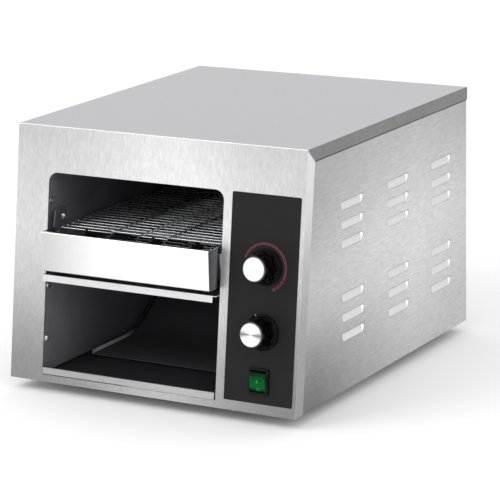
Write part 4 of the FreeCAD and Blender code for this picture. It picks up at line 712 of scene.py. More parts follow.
def lip_painted_light(tree):
    """Painted light in the middle, with painted shadow in the gap under the lip's left part."""
    middle = ramp(tree, coordinate(tree, "X", -165.0, 130.0), (0.0, 0.82), (0.4, 0.86), (0.6, 1.0),
                  (0.8, 1.0), (1.0, 0.86))
    gap = calc(tree, "MULTIPLY", coordinate(tree, "Z", LIP_FOOT + 1.1, LIP_FOOT + 0.6),
               coordinate(tree, "X", -25.0, -45.0))
    return calc(tree, "MULTIPLY", middle, spread(tree, gap, 1.0, 0.2, 0.0, 1.0))


# Settings a user would change

class ToasterSteel(PropertyGroup):
    front: FloatVectorProperty(
        name="Front", description="Colour of the slanted front where it is lightest",
        subtype="COLOR", size=3, min=0.0, max=1.0, default=(0.655, 0.655, 0.657))
    side: FloatVectorProperty(
        name="Side panels", description="Colour of the louvred side panels where they are lightest",
        subtype="COLOR", size=3, min=0.0, max=1.0, default=(0.655, 0.655, 0.657))
    lid: FloatVectorProperty(
        name="Lid", description="Colour of the flat top cover",
        subtype="COLOR", size=3, min=0.0, max=1.0, default=(0.483, 0.483, 0.497))
    # The rim is the lid's own steel; its darker colour is painted shade.
    lid_rim: FloatVectorProperty(
        name="Lid rim", description="Colour of the down-turned rim of the top cover",
        subtype="COLOR", size=3, min=0.0, max=1.0, default=(0.215, 0.215, 0.218))
    chamber: FloatVectorProperty(
        name="Chamber", description="Colour of the heat-darkened sheets inside",
        subtype="COLOR", size=3, min=0.0, max=1.0, default=(0.19, 0.187, 0.205))


class ToasterBelt(PropertyGroup):
    wire: FloatProperty(
        name="Wire thickness", description="Diameter of the belt's wires",
        subtype="DISTANCE", unit="LENGTH", default=0.0016, min=0.0008, max=0.003)
    pitch: FloatProperty(
        name="Belt pitch", description="Distance between the belt's wires",
        subtype="DISTANCE", unit="LENGTH", default=0.013, min=0.006, max=0.03)
    bend: FloatProperty(
        name="Bend radius", description="Radius of the bends in the belt's wires",
        subtype="DISTANCE", unit="LENGTH", default=0.0011, min=0.0, max=0.004)
    sides: IntProperty(
        name="Wire sides", description="Number of sides of each wire's section",
        default=8, min=4, max=16)


class ToasterControls(PropertyGroup):
    arc: FloatVectorProperty(
        name="Dial arc", description="Colour of the arc printed round the upper knob",
        subtype="COLOR", size=3, min=0.0, max=1.0, default=(0.13, 0.033, 0.045))
    rocker: FloatVectorProperty(
        name="Rocker", description="Colour of the power rocker",
        subtype="COLOR", size=3, min=0.0, max=1.0, default=(0.004, 0.110, 0.022))
    flutes: IntProperty(
        name="Knob flutes", description="Number of shallow flutes round each knob's grip",
        default=8, min=0, max=40)


class ToasterStage(PropertyGroup):
    floor: FloatVectorProperty(
        name="Floor", description="Colour of the floor", subtype="COLOR", size=3,
        min=0.0, max=1.0, default=(0.985, 0.985, 0.985))
    sky: FloatProperty(
        name="Sky light", description="Strength of the even light from all round",
        default=1.0, min=0.0, max=2.0)
    key: FloatProperty(
        name="Key light", description="Power of the large lamp above the front left",
        subtype="POWER", unit="POWER", default=26.0, min=0.0, max=500.0)
    lens: FloatProperty(
        name="Lens", description="Focal length of the camera in millimetres",
        default=184.13, min=20.0, max=400.0)


class ToasterSettings(PropertyGroup):
    steel: PointerProperty(type=ToasterSteel, name="Steel", description="Colours of the sheets")
    belt: PointerProperty(type=ToasterBelt, name="Belt", description="Sizes of the wire belt")
    controls: PointerProperty(type=ToasterControls, name="Controls",
                              description="Colours and details of the knobs and the switch")
    stage: PointerProperty(type=ToasterStage, name="Stage", description="Floor, lights and camera")


def settings():
    return bpy.context.scene.conveyor_toaster


# Faces of the shell

def outer_of_front(face):
    front = face.normal.dot(Vector((0.0, -math.cos(SLANT), math.sin(SLANT)))) > 0.99
    side = abs(face.normal.x) > 0.99 and abs(face.calc_center_median().x) > 214.9 * MM
    return front or side


def outer_of_lid(face):
    middle = face.calc_center_median()
    top = face.normal.z > 0.99 and middle.z > 349.9 * MM
    side = abs(face.normal.x) > 0.99 and abs(middle.x) > 214.9 * MM
    rear = face.normal.y > 0.99 and middle.y > at(0, 509.9, 0).y
    return top or side or rear


LOUVRE = {"length": 61.5, "height": 10.8, "depth": 4.5, "corner": 8.0, "cheek": 3.4,
          "columns": (162.0, 294.0, 426.0), "rows": (244.6, 219.3, 194.2, 123.4, 97.0, 71.2)}


def louvre_reach(v):
    """Half the louvre's length at a height, with its lower corners rounded."""
    t = min(1.0, max(0.0, v / LOUVRE["height"] + 0.5))
    return LOUVRE["length"] / 2.0 - LOUVRE["corner"] * (1.0 - math.sqrt(1.0 - (1.0 - t) ** 2.4))


def louvre_point(u, v):
    """How far a louvre is pressed in at a place, and the mark that its material reads.

    The mark of painted light and shade goes from 0 on the panel to 1 on the face and 2 on the ends, and
    is negative on the painted shade line outside."""
    high = LOUVRE["height"] / 2.0
    t = v / LOUVRE["height"] + 0.5
    room = louvre_reach(v) - abs(u)
    if v < -high or v > high or room < 0.0:
        out = max(0.0, abs(v) - high, -room * (0.6 if u < 0.0 else 1.1))
        line = max(0.0, 1.0 - out / 1.9)
        if v > high - 1.0 and u > 0.0:
            line *= 1.0 + 0.8 * min(1.0, max(0.0, (u - LOUVRE["length"] * 0.32) / 6.0))
        return 0.0, -0.42 * line
    end = min(1.0, room / LOUVRE["cheek"])
    deep = LOUVRE["depth"] * t * math.sin(end * math.pi / 2.0)
    edge = min(1.0, (v + high) / 0.9, room / 0.7)
    cheek = max(0.0, 1.0 - end ** 2)
    return deep, edge * (1.0 + 0.95 * cheek)


def side_panel_mesh():
    """The right side panel's outer skin with its louvres, in millimetres of the case."""
    face_x = 214.0
    half = LOUVRE["length"] / 2.0
    high = LOUVRE["height"] / 2.0
    ends = [-half - 2.4, -half - 1.6, -half - 0.8, -half - 0.3, -half + 0.001]
    ends += [-half + 0.55 * k for k in range(1, 18)]
    us = ends + [-half + 14.0, -half + 22.0, 0.0, half - 22.0, half - 14.0]
    us += [-u for u in ends[::-1]]
    low_rows = [-high - 2.0, -high - 1.2, -high - 0.5] + [-high + LOUVRE["height"] * k / 16.0
                                                        for k in range(17)]
    top_rows = [high, high + 0.5, high + 1.2, high + 2.0]
    lap = 1.0 / math.cos(SLANT) + 0.3
    outline = [(45.0 * 3.0 / 335.0 + lap, 0.0), (509.0, 0.0), (509.0, 334.0),
               (45.0 * 334.0 / 335.0 + lap, 334.0)]
    places = [(y, z) for y in LOUVRE["columns"] for z in LOUVRE["rows"]]
    rim = low_rows + top_rows[1:]
    holes = []
    for y, z in places:
        hole = [(y + u, z + rim[0]) for u in us] + [(y + us[-1], z + v) for v in rim[1:]]
        hole += [(y + u, z + rim[-1]) for u in us[-2::-1]]
        hole += [(y + us[0], z + v) for v in rim[-2:0:-1]]
        holes.append(hole)
    points, faces = flat_plate(outline, holes)
    bm = bmesh.new()
    # The 'pressed' attribute carries the louvres' painted light and shade.
    mark = bm.verts.layers.float.new("pressed")
    verts = [bm.verts.new((face_x, y, z)) for y, z in points]
    known = {(round(y, 3), round(z, 3)): v for (y, z), v in zip(points, verts)}
    for face in faces:
        bm.faces.new([verts[i] for i in face])

    def row_of(y, z, v, pressed, outer, shared=None):
        row = []
        for i, u in enumerate(us):
            vert = shared[i] if shared and abs(u) >= half else None
            if outer or i in (0, len(us) - 1):
                vert = known.get((round(y + u, 3), round(z + v, 3)))
            if vert is None:
                deep, shade = louvre_point(u, v if pressed else v + 1e-6)
                vert = bm.verts.new((face_x - (deep if pressed else 0.0), y + u, z + v))
                vert[mark] = shade
            row.append(vert)
        return row

    def fill(rows):
        for low, top in zip(rows[:-1], rows[1:]):
            for i in range(len(us) - 1):
                bm.faces.new((low[i], low[i + 1], top[i + 1], top[i]))

    for y, z in places:
        below = [row_of(y, z, v, True, j == 0) for j, v in enumerate(low_rows)]
        above = [row_of(y, z, top_rows[0], False, False, below[-1])]
        above += [row_of(y, z, v, False, v == top_rows[-1]) for v in top_rows[1:]]
        fill(below)
        fill(above)
    thickened(bm, Vector((-1.0, 0.0, 0.0)))
    add_block(bm, (201.0, 34.0, 1.2), (213.0, 507.7, 2.2))
    add_block(bm, (201.0, 507.0, 1.2), (213.0, 508.0, 334.0))
    return bm


def to_frame(bm, side=1):
    """Turns millimetres of the case into the row frame, mirrored for the left side."""
    for v in bm.verts:
        v.co = at(v.co.x * side, v.co.y, v.co.z)
    bmesh.ops.recalc_face_normals(bm, faces=bm.faces)


def circle(x, z, radius, steps=32):
    return [(x + radius * math.cos(2 * math.pi * k / steps),
             z + radius * math.sin(2 * math.pi * k / steps)) for k in range(steps)]


def rear_panel_mesh():
    holes = [circle(165.0, 60.0, 8.05)]
    for x in (-120.0, 0.0, 120.0):
        for row in range(6):
            holes.append([(x - 30.0, 190.0 + 14.0 * row), (x + 30.0, 190.0 + 14.0 * row),
                          (x + 30.0, 194.0 + 14.0 * row), (x - 30.0, 194.0 + 14.0 * row)])
    points, faces = flat_plate([(-213.0, 0.0), (213.0, 0.0), (213.0, 334.0), (-213.0, 334.0)], holes)
    bm = bmesh.new()
    verts = [bm.verts.new((x, 509.0, z)) for x, z in points]
    for face in faces:
        bm.faces.new([verts[i] for i in face])
    thickened(bm, Vector((0.0, -1.0, 0.0)))
    return bm


class TOASTER_OT_case(Operator):
    """Dresses the front, the lid, the sides, the rear and the base"""
    bl_idname = "toaster.case"
    bl_label = "Case sheets"

    def execute(self, context):
        steel = settings().steel
        front = brushed_steel("front_steel", steel.front, "Z", 0.36, 0.085, front_painted_light)
        # The return strip: a lighter copy of the front's steel, with painted light and shade.
        strip = brushed_steel("front_return_painted_light_steel", (0.72, 0.72, 0.73), "Z", 0.33, 0.05,
                              return_painted_light)
        # White steel for rounded edges and the lid's front faces: a painted highlight.
        edge = brushed_steel("sheet_edge_painted_highlight_steel", (1.0, 1.0, 1.0), "Z", 0.3, 0.03)
        lid = brushed_steel("lid_steel", steel.lid, "Y", 0.34, 0.012, bump=0.03)
        # The lid's rim: a darker copy of the lid's steel as painted shade, with a painted shadow line at
        # its foot.
        rim = brushed_steel("lid_rim_painted_shade_steel", steel.lid_rim, "Y", 0.4, 0.09, rim_foot_painted_shadow)
        # The side panels carry painted light and shade over the sheet and on the louvres.
        side = brushed_steel("side_steel", steel.side, "Y", 0.36, 0.09, side_painted_light, louvre_painted_light)
        rear = brushed_steel("rear_steel", (0.42, 0.42, 0.425), "X", 0.4, 0.05)
        rounded_sheet("front_panel", "front_panel_sheet", [front, strip, edge], edge=0.3, fold=1.1,
                      outer=outer_of_front, pick=lambda f: 1 if abs(f.normal.x) > 0.9 else 0, rim=2)
        # The lid's front-facing faces take slot 2, the white of the painted highlight.
        rounded_sheet("top_cover", "top_cover_sheet", [lid, rim, edge], edge=0.3, fold=0.8,
                      outer=outer_of_lid,
                      pick=lambda f: (0 if abs(f.normal.z) > 0.9 else
                                      2 if f.normal.y < -0.5 else 1))
        for name, hand in (("right_side_panel", 1), ("left_side_panel", -1)):
            bm = side_panel_mesh()
            to_frame(bm, hand)
            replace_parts(softened(bm, name + "_sheet", [side], "case", 0.2, angle=60.0), name)
        bm = rear_panel_mesh()
        to_frame(bm)
        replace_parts(softened(bm, "rear_panel_sheet", [rear], "case", 0.25, angle=60.0),
                    "rear_panel")
        rounded_sheet("base_plate", "base_plate_sheet", [rear], edge=0.3)
        return {"FINISHED"}


class TOASTER_OT_chamber(Operator):
    """Dresses the toasting chamber, the apron, the shelf, the chute and the tray"""
    bl_idname = "toaster.chamber"
    bl_label = "Chamber sheets"

    def execute(self, context):
        tone = tuple(settings().steel.chamber)
        wall = heated_sheet("chamber_sheet", tone, 0.5, wall_tone)
        floor = heated_sheet("tray_floor_sheet", scaled(tone, 0.12), 0.55)
        chute = heated_sheet("chute_sheet", scaled(tone, 0.3), 0.6)
        # Light steel on the chute's side faces: a painted highlight.
        lead = heated_sheet("chute_edge_painted_highlight_sheet", (0.62, 0.62, 0.64), 0.4, chute_edge_tone)
        bracket = heated_sheet("bracket_sheet", scaled(tone, 0.5), 0.5)
        # The apron's front faces take a near-white copy of the steel as painted light, its other faces a
        # dark copy as painted shade, its rounded edges the painted highlight.
        apron = brushed_steel("apron_steel", (0.97, 0.97, 0.972), "X", 0.3, 0.015, apron_painted_light)
        flange = brushed_steel("apron_flange_painted_shade_steel", (0.14, 0.14, 0.145), "Z", 0.3, 0.1)
        edge = material_named("sheet_edge_painted_highlight_steel")
        shelf = brushed_steel("shelf_steel", (0.72, 0.72, 0.725), "X", 0.34, 0.06)
        lip = brushed_steel("tray_steel", (0.50, 0.50, 0.503), "X", 0.36, 0.05, lip_painted_light)
        mirror = brushed_steel("reflector_steel", (0.5, 0.5, 0.5), "X", 0.2, 0.03)
        for name in ("left_chamber_wall", "right_chamber_wall", "chamber_roof", "chamber_back"):
            rounded_sheet(name, name + "_sheet", [wall], edge=0.3)
        rounded_sheet("upper_reflector", "upper_reflector_sheet", [mirror], edge=0.3)
        rounded_sheet("idler_bracket", "idler_bracket_sheet", [bracket], edge=0.5)
        rounded_sheet("feed_apron", "feed_apron_sheet", [apron, flange, edge], edge=0.35, rim=2,
                      pick=lambda f: 0 if f.normal.y < -0.2 else 1)
        # The shelf's upper faces take the near-black tray floor sheet: painted shade under the apron.
        rounded_sheet("crumb_shelf", "crumb_shelf_sheet", [shelf, floor], edge=0.35,
                      pick=lambda f: 1 if f.normal.z > 0.5 else 0)
        rounded_sheet("toast_chute", "toast_chute_sheet", [chute, lead], edge=0.35,
                      pick=lambda f: 1 if abs(f.normal.x) > 0.9 else 0)
        rounded_sheet("crumb_tray", "crumb_tray_sheet", [lip, floor], body="tray", edge=0.3,
                      pick=lambda f: 1 if f.calc_center_median().y > at(0, 9.0, 0).y else 0)
        paint_node("tray_runners", material_named("rear_steel"))
        return {"FINISHED"}


# Conveyor

BELT = {"left": -151.0, "right": 91.0, "columns": (-71.0, -29.5, 12.0), "spans": 26, "teeth": 8,
        "wire": 1.8, "top": 202.0, "front": 41.0, "rise": 2.1, "ramp": 1.6, "shift": 2.2,
        "room": 2.15}


def belt_wire_path(pitch, turn):
    """One wire of the belt as (x, along, height) points in millimetres."""
    far = -(pitch + 2.0 * BELT["ramp"])
    rise = BELT["rise"]
    ramp = BELT["ramp"]
    shift = BELT["shift"]
    lift = 0.0
    if turn > 0.01:
        lift = (rise + BELT["room"] - 2.0 * ramp * math.sin(turn)) / math.cos(turn)
    left = BELT["left"]
    right = BELT["right"]
    path = [(left + shift, far, 0.0), (left + shift, far + ramp, rise),
            (left, -ramp, rise), (left, 0.0, 0.0)]
    for number, x in enumerate(BELT["columns"]):
        x += shift / 2.0
        if number % 2 == 0:
            path += [(x, 0.0, 0.0), (x, -ramp, rise), (x - shift, far + ramp, rise),
                     (x - shift, far, lift)]
        else:
            path += [(x, far, lift), (x, far + ramp, rise), (x - shift, -ramp, rise),
                     (x - shift, 0.0, 0.0)]
    path += [(right, far, lift), (right, far + ramp, rise), (right - shift, -ramp, rise),
             (right - shift, 0.0, 0.0)]
    return path


def belt_pivots(pitch, thickness):
    """Where each wire stands round the loop, as (y, z) in millimetres of the case."""
    teeth = BELT["teeth"]
    radius = pitch / (2.0 * math.sin(math.pi / teeth))
    shaft = BELT["top"] - thickness / 2.0 - radius
    front = BELT["front"]
    rear = front + BELT["spans"] * pitch
    top = [(front + i * pitch, shaft + radius) for i in range(BELT["spans"] + 1)]
    step = 2.0 * math.pi / teeth
    back = []
    nose = []
    for i in range(1, teeth // 2):
        a = math.pi / 2.0 - i * step
        back.append((rear + radius * math.cos(a), shaft + radius * math.sin(a)))
        nose.append((front - radius * math.cos(a), shaft - radius * math.sin(a)))
    low = [(y, shaft - radius) for y, z in top[::-1]]
    return top + back + low + nose


class TOASTER_OT_belt(Operator):
    """Builds the wire belt from round wires with hooked joints"""
    bl_idname = "toaster.belt"
    bl_label = "Wire belt"

    def execute(self, context):
        sizes = settings().belt
        pitch = sizes.pitch / MM
        steel = turned_metal("belt_wire_steel", (0.72, 0.72, 0.725), 0.26, 0.25)
        pivots = belt_pivots(pitch, BELT["wire"])
        headings = []
        for i, (y, z) in enumerate(pivots):
            headings.append(math.atan2(z - pivots[i - 1][1], y - pivots[i - 1][0]))
        groups = {}
        for i, (y, z) in enumerate(pivots):
            turn = abs(headings[i - 1] - headings[i]) % (2.0 * math.pi)
            turn = min(turn, 2.0 * math.pi - turn)
            groups.setdefault(round(turn, 3), []).append((at(0.0, y, z), headings[i]))
        parts = []
        for turn, members in groups.items():
            path = [Vector(p) * MM for p in belt_wire_path(pitch, turn)]
            shape = tube_mesh("belt_wire_%d" % len(parts), [path], sizes.wire / 2.0, sizes.bend,
                              sizes.sides, 3, steel)
            tree = bpy.data.node_groups.get("Scatter Copies") or scatter_tree()
            mesh = points_mesh("belt_points", [m[0] for m in members],
                               [(m[1], 0.0, 0.0) for m in members])
            parts.append(run_tree(tree, "belt_part_%d" % len(parts), mesh,
                                  {"Shape": shape, "Finish": steel}))
            bpy.data.objects.remove(shape)
        bm = bmesh.new()
        for part in parts:
            bm.from_mesh(part.data)
            bpy.data.objects.remove(part)
        mesh = bpy.data.meshes.new("belt_wires")
        bm.to_mesh(mesh)
        bm.free()
        mesh.shade_smooth()
        belt = new_piece("belt_wires", mesh, [steel])
        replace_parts(belt, "conveyor_belt")
        return {"FINISHED"}


class TOASTER_OT_drive(Operator):
    """Paints the shafts, sprockets, chain and motor"""
    bl_idname = "toaster.drive"
    bl_label = "Drive"

    def execute(self, context):
        steel = turned_metal("shaft_steel", (0.42, 0.42, 0.42), 0.32)
        dark = turned_metal("sprocket_steel", (0.05, 0.05, 0.052), 0.45)
        brass = turned_metal("bush_brass", (0.50, 0.36, 0.14), 0.35)
        chain = turned_metal("chain_steel", (0.14, 0.13, 0.12), 0.4, 0.3)
        motor = moulded("motor_paint", (0.02, 0.02, 0.022), 0.4)
        for node in ("drive_shaft", "drive_shaft_rings", "chain_wheel", "motor_pinion"):
            paint_node(node, steel)
        for node in ("drive_sprockets", "idler_shaft", "idler_sprockets", "idler_shaft_ring"):
            paint_node(node, dark)
        paint_node("shaft_bushes", brass)
        paint_node("drive_chain", chain)
        paint_node("gear_motor", motor)
        for node in ("motor_plate", "motor_posts", "board_posts"):
            paint_node(node, material_named("rear_steel"))
        paint_node("speed_board", moulded("board_green", (0.01, 0.09, 0.04), 0.4))
        paint_node("terminal_block", moulded("terminal_white", (0.6, 0.59, 0.55), 0.45))
        return {"FINISHED"}


class TOASTER_OT_heaters(Operator):
    """Builds the wound wires in the heater tubes and paints tubes and caps"""
    bl_idname = "toaster.heaters"
    bl_label = "Heaters"

    def execute(self, context):
        glass = clear_glass("quartz_glass", (0.93, 0.93, 0.95))
        coil = turned_metal("coil_wire", (0.16, 0.14, 0.13), 0.5, 0.2)
        ceramic = moulded("ceramic", (0.62, 0.60, 0.55), 0.6, 0.08)
        for level in ("upper", "lower"):
            low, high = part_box(level + "_heater_coils")
            rows = {"upper": (150.0, 230.0, 310.0), "lower": (120.0, 210.0, 300.0)}[level]
            z = (low[2] + high[2]) / 2.0
            turns = 70
            radius = 3.2 * MM
            paths = []
            for y in rows:
                path = []
                for k in range(turns * 8 + 1):
                    a = 2.0 * math.pi * k / 8.0
                    x = low[0] + (high[0] - low[0]) * k / (turns * 8.0)
                    path.append(Vector((x, at(0, y, 0).y + radius * math.cos(a),
                                        z + radius * math.sin(a))))
                paths.append(path)
            piece = tube_mesh(level + "_heater_wire", paths, 0.45 * MM, 0.0, 5, 1, coil)
            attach(piece, "case")
            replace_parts(piece, level + "_heater_coils")
            paint_node(level + "_heater_tubes", glass)
            rounded_sheet(level + "_heater_caps", level + "_heater_ends", [ceramic], edge=0.8)
        return {"FINISHED"}


# Controls

KNOBS = {"speed": 187.0, "heat": 104.5}
KNOB_X = 163.0
PANEL_T = 0.8


def knob_mesh(flutes):
    base = PANEL_T + 0.5
    top = base + 29.0
    steps = 192

    def flute(a, radius, height):
        if not flutes or height < base + 5.4 or height > top - 0.6 or radius < 12.0:
            return radius
        phase = (a * flutes / (2.0 * math.pi)) % 1.0
        near = abs(phase - 0.5) * 2.0
        depth = max(0.0, 1.0 - (near / 0.55) ** 2)
        return radius - 1.1 * depth

    profile = [(6.2, base + 0.1), (22.8, base), (23.45, base + 0.15), (23.6, base + 0.6),
               (23.5, base + 1.5), (23.1, base + 2.1), (22.5, base + 2.35), (21.8, base + 2.3),
               (21.5, base + 2.5), (20.6, base + 3.4), (20.1, base + 4.4), (19.8, base + 5.3),
               (19.6, base + 5.6), (19.1, base + 12.0), (18.6, base + 20.0), (18.2, top - 2.2),
               (18.0, top - 1.3), (17.6, top - 0.5), (17.0, top - 0.12), (16.5, top - 0.1),
               (16.3, top - 0.5)]
    return lathe(profile, steps, "knob", flute)


def cap_mesh():
    """A spun cap with a bevelled rim, and a UV map that runs round and outwards."""
    base = PANEL_T + 0.5 + 29.0 - 0.6
    steps = 96
    bm = bmesh.new()
    uv = bm.loops.layers.uv.new("spin")
    profile = [(16.15, base), (16.15, base + 0.2), (15.9, base + 0.45), (14.7, base + 1.1),
               (14.4, base + 1.18), (12.0, base + 1.14), (8.0, base + 1.06), (4.0, base + 1.0),
               (1.0, base + 0.98)]
    rings = [[bm.verts.new((r * math.cos(2 * math.pi * k / steps), r * math.sin(2 * math.pi * k / steps),
                            h)) for k in range(steps)] for r, h in profile]
    for n in range(len(rings) - 1):
        for k in range(steps):
            m = (k + 1) % steps
            face = bm.faces.new((rings[n][k], rings[n][m], rings[n + 1][m], rings[n + 1][k]))
            corners = [(k, n), (k + 1, n), (k + 1, n + 1), (k, n + 1)]
            # The rim's bevel rings take slot 1, the grey of painted shade.
            face.material_index = 1 if n < 3 else 0
            for loop, (i, j) in zip(face.loops, corners):
                loop[uv].uv = (i / steps, profile[j][0] / 15.5)
    centre = bm.verts.new((0.0, 0.0, base + 0.97))
    for k in range(steps):
        m = (k + 1) % steps
        face = bm.faces.new((rings[-1][k], rings[-1][m], centre))
        for loop, (i, v) in zip(face.loops, ((k, 1.0), (k + 1, 1.0), (k + 0.5, 0.0))):
            loop[uv].uv = (i / steps, v / 15.5)
    bm.faces.new(rings[0][::-1])
    return bm


def flat_shape(outlines, low, high):
    """Flat outlines on the front, in (x, s), made into thin raised ink."""
    bm = bmesh.new()
    for points in outlines:
        bottom = [bm.verts.new((x, s, low)) for x, s in points]
        top = [bm.verts.new((x, s, high)) for x, s in points]
        bm.faces.new(bottom[::-1])
        bm.faces.new(top)
        for k in range(len(points)):
            m = (k + 1) % len(points)
            bm.faces.new((bottom[k], bottom[m], top[m], top[k]))
    return bm


def arc_quads(x, s, radius, start, end, wide_start, wide_end, steps):
    """A printed arc as a row of quads. Angles in degrees, clockwise from the left."""
    outlines = []
    for k in range(steps):
        pair = []
        for t in (k / steps, (k + 1) / steps):
            a = math.radians(180.0 - (start + (end - start) * t))
            half = (wide_start + (wide_end - wide_start) * t) / 2.0
            pair.append([(x + (radius - half) * math.cos(a), s + (radius - half) * math.sin(a)),
                         (x + (radius + half) * math.cos(a), s + (radius + half) * math.sin(a))])
        outlines.append([pair[0][0], pair[0][1], pair[1][1], pair[1][0]])
    return outlines


class TOASTER_OT_controls(Operator):
    """Builds the control panel, its printed marks and the two knobs"""
    bl_idname = "toaster.controls"
    bl_label = "Panel and knobs"

    def execute(self, context):
        values = settings().controls
        film = moulded("panel_film", (0.0125, 0.0125, 0.0128), 0.5, 0.03, 0.06, 1500.0, 0.0, 0.15)
        rounded_sheet("control_panel", "control_panel_film", [film], edge=0.25)
        black = moulded("knob_plastic", (0.0012, 0.0012, 0.0013), 0.12, 0.1, 0.03, 500.0, 0.0, 0.16)
        skirt = moulded("knob_skirt_plastic", (0.0012, 0.0012, 0.0013), 0.3, 0.1, 0.05, 500.0, 0.0,
                        0.09)
        # Grey for the caps' bevelled rims: painted shade on the aluminium.
        bevel = moulded("knob_cap_bevel_painted_shade", (0.11, 0.11, 0.112), 0.4, 0.1, specular=0.2)
        # How dark each cap's wedges of painted reflection are.
        wedges = {"speed": 0.85, "heat": 0.16}
        for name, s in KNOBS.items():
            bm = knob_mesh(values.flutes)
            for face in bm.faces:
                face.material_index = 1 if face.calc_center_median().z < PANEL_T + 5.6 else 0
            place_on_front(bm, KNOB_X, s)
            knob = new_piece(name + "_knob_grip", finish_mesh(bm, name + "_knob_grip", 40.0),
                             [black, skirt], name)
            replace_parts(knob, name + "_knob")
            bm = cap_mesh()
            place_on_front(bm, KNOB_X, s)
            cap = spun_cap(name + "_cap_metal", (0.97, 0.97, 0.975), wedges[name])
            disc = new_piece(name + "_knob_disc", finish_mesh(bm, name + "_knob_disc", 30.0),
                             [cap, bevel], name)
            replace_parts(disc, name + "_knob_cap")
            paint_node(name + "_spindle", material_named("rear_steel"))
            paint_node(name + "_control", film)
        ink = moulded("arc_ink", tuple(values.arc), 0.5, 0.05, specular=0.15)
        grey = moulded("mark_ink", (0.30, 0.30, 0.30), 0.5, 0.05, specular=0.15)
        arc = arc_quads(KNOB_X - 0.7, KNOBS["speed"] - 0.6, 30.0, 15.0, 246.0, 2.6, 4.0, 72)
        bm = flat_shape(arc, 0.79, 0.88)
        bmesh.ops.remove_doubles(bm, verts=bm.verts, dist=0.002)
        place_on_front(bm, 0.0, 0.0)
        new_piece("speed_arc", finish_mesh(bm, "speed_arc"), [ink])
        tick = PANEL_T + 0.5 + 2.36
        corners = ((-9.4, 19.6), (-8.2, 20.0), (-8.9, 22.4), (-10.1, 22.0))
        bm = flat_shape([[(KNOB_X + x, KNOBS["heat"] + s) for x, s in corners]], tick, tick + 0.08)
        place_on_front(bm, 0.0, 0.0)
        new_piece("heat_tick", finish_mesh(bm, "heat_tick"), [grey], "heat")
        return {"FINISHED"}


SWITCH = (161.8, 42.0)


def on_rocker(x, along):
    """A point just above the rocker's sloped faces, in millimetres of the front."""
    tilt = math.radians(11.0)
    flat = 6.0
    half = 12.5
    top = PANEL_T + 5.7
    drop = 4.0
    pivot = -4.0
    height = top if abs(along) <= flat else top - drop * (abs(along) - flat) / (half - flat)
    up = height - pivot + 0.06
    y = along * math.cos(tilt) - up * math.sin(tilt)
    z = along * math.sin(tilt) + up * math.cos(tilt) + pivot
    return (SWITCH[0] + x, SWITCH[1] + y, z)


class TOASTER_OT_switch(Operator):
    """Builds the rocker switch with its frame and its I and O marks"""
    bl_idname = "toaster.switch"
    bl_label = "Rocker switch"

    def execute(self, context):
        black = moulded("switch_plastic", (0.003, 0.003, 0.0033), 0.25, 0.1, 0.1, 700.0, 0.0, 0.15)
        green = lit_rocker("rocker_plastic", tuple(settings().controls.rocker), SWITCH[1] - 13.0,
                           SWITCH[1] + 13.0)
        white = moulded("rocker_ink", (0.12, 0.30, 0.17), 0.4, 0.05, specular=0.2)
        rounded_sheet("switch_body", "switch_frame", [black], edge=0.7, segments=3)
        rounded_sheet("power_rocker", "rocker_key", [green], body="rocker", edge=0.8, segments=3)
        bm = bmesh.new()
        stroke = ((-0.5, 0.2), (0.5, 0.2), (0.5, 4.2), (-0.5, 4.2))
        bm.faces.new([bm.verts.new(on_rocker(x, along)) for x, along in stroke])
        steps = 28
        inner = []
        outer = []
        for k in range(steps):
            a = 2.0 * math.pi * k / steps
            for ring, r in ((inner, 1.75), (outer, 2.55)):
                ring.append(bm.verts.new(on_rocker(r * math.cos(a), -8.6 + r * math.sin(a))))
        for k in range(steps):
            m = (k + 1) % steps
            bm.faces.new((outer[k], outer[m], inner[m], inner[k]))
        for v in bm.verts:
            v.co = on_front(*v.co)
        mesh = bpy.data.meshes.new("rocker_marks")
        bm.to_mesh(mesh)
        bm.free()
        new_piece("rocker_marks", mesh, [white], "rocker")
        return {"FINISHED"}


# Screws, gland and feet

def screw_head(radius, height, recess):
    """A pan head with a cross recess, its axis along +Z and its seat at the origin."""
    bm = bmesh.new()
    steps = 32
    profile = [(radius, 0.0), (radius, height * 0.35), (radius * 0.93, height * 0.7),
               (radius * 0.75, height * 0.92), (radius * 0.55, height)]
    rings = [[bm.verts.new((r * math.cos(2 * math.pi * (k + 0.5) / steps),
                            r * math.sin(2 * math.pi * (k + 0.5) / steps), h)) for k in range(steps)]
             for r, h in profile]
    for low, high in zip(rings[:-1], rings[1:]):
        for k in range(steps):
            m = (k + 1) % steps
            bm.faces.new((low[k], low[m], high[m], high[k]))
    bm.faces.new(rings[0][::-1])
    arm = radius * 0.13
    long = radius * 0.48
    star = [(long, -arm), (long, arm), (arm, arm), (arm, long), (-arm, long), (-arm, arm),
            (-long, arm), (-long, -arm), (-arm, -arm), (-arm, -long), (arm, -long), (arm, -arm)]
    edge = [bm.verts.new((x, y, height)) for x, y in star]
    deep = [bm.verts.new((x * 0.7, y * 0.7, height - recess)) for x, y in star]
    for k in range(12):
        m = (k + 1) % 12
        bm.faces.new((edge[k], edge[m], deep[m], deep[k]))
    bm.faces.new(deep)
    top = rings[-1]
    loop_top = [bm.edges.get((top[k], top[(k + 1) % steps])) for k in range(steps)]
    loop_star = [bm.edges.get((edge[k], edge[(k + 1) % 12])) for k in range(12)]
    bmesh.ops.triangle_fill(bm, edges=[e for e in loop_top + loop_star if e], use_beauty=True)
    bmesh.ops.scale(bm, vec=(MM, MM, MM), verts=bm.verts)
    return finish_mesh(bm, "screw_head", 35.0)


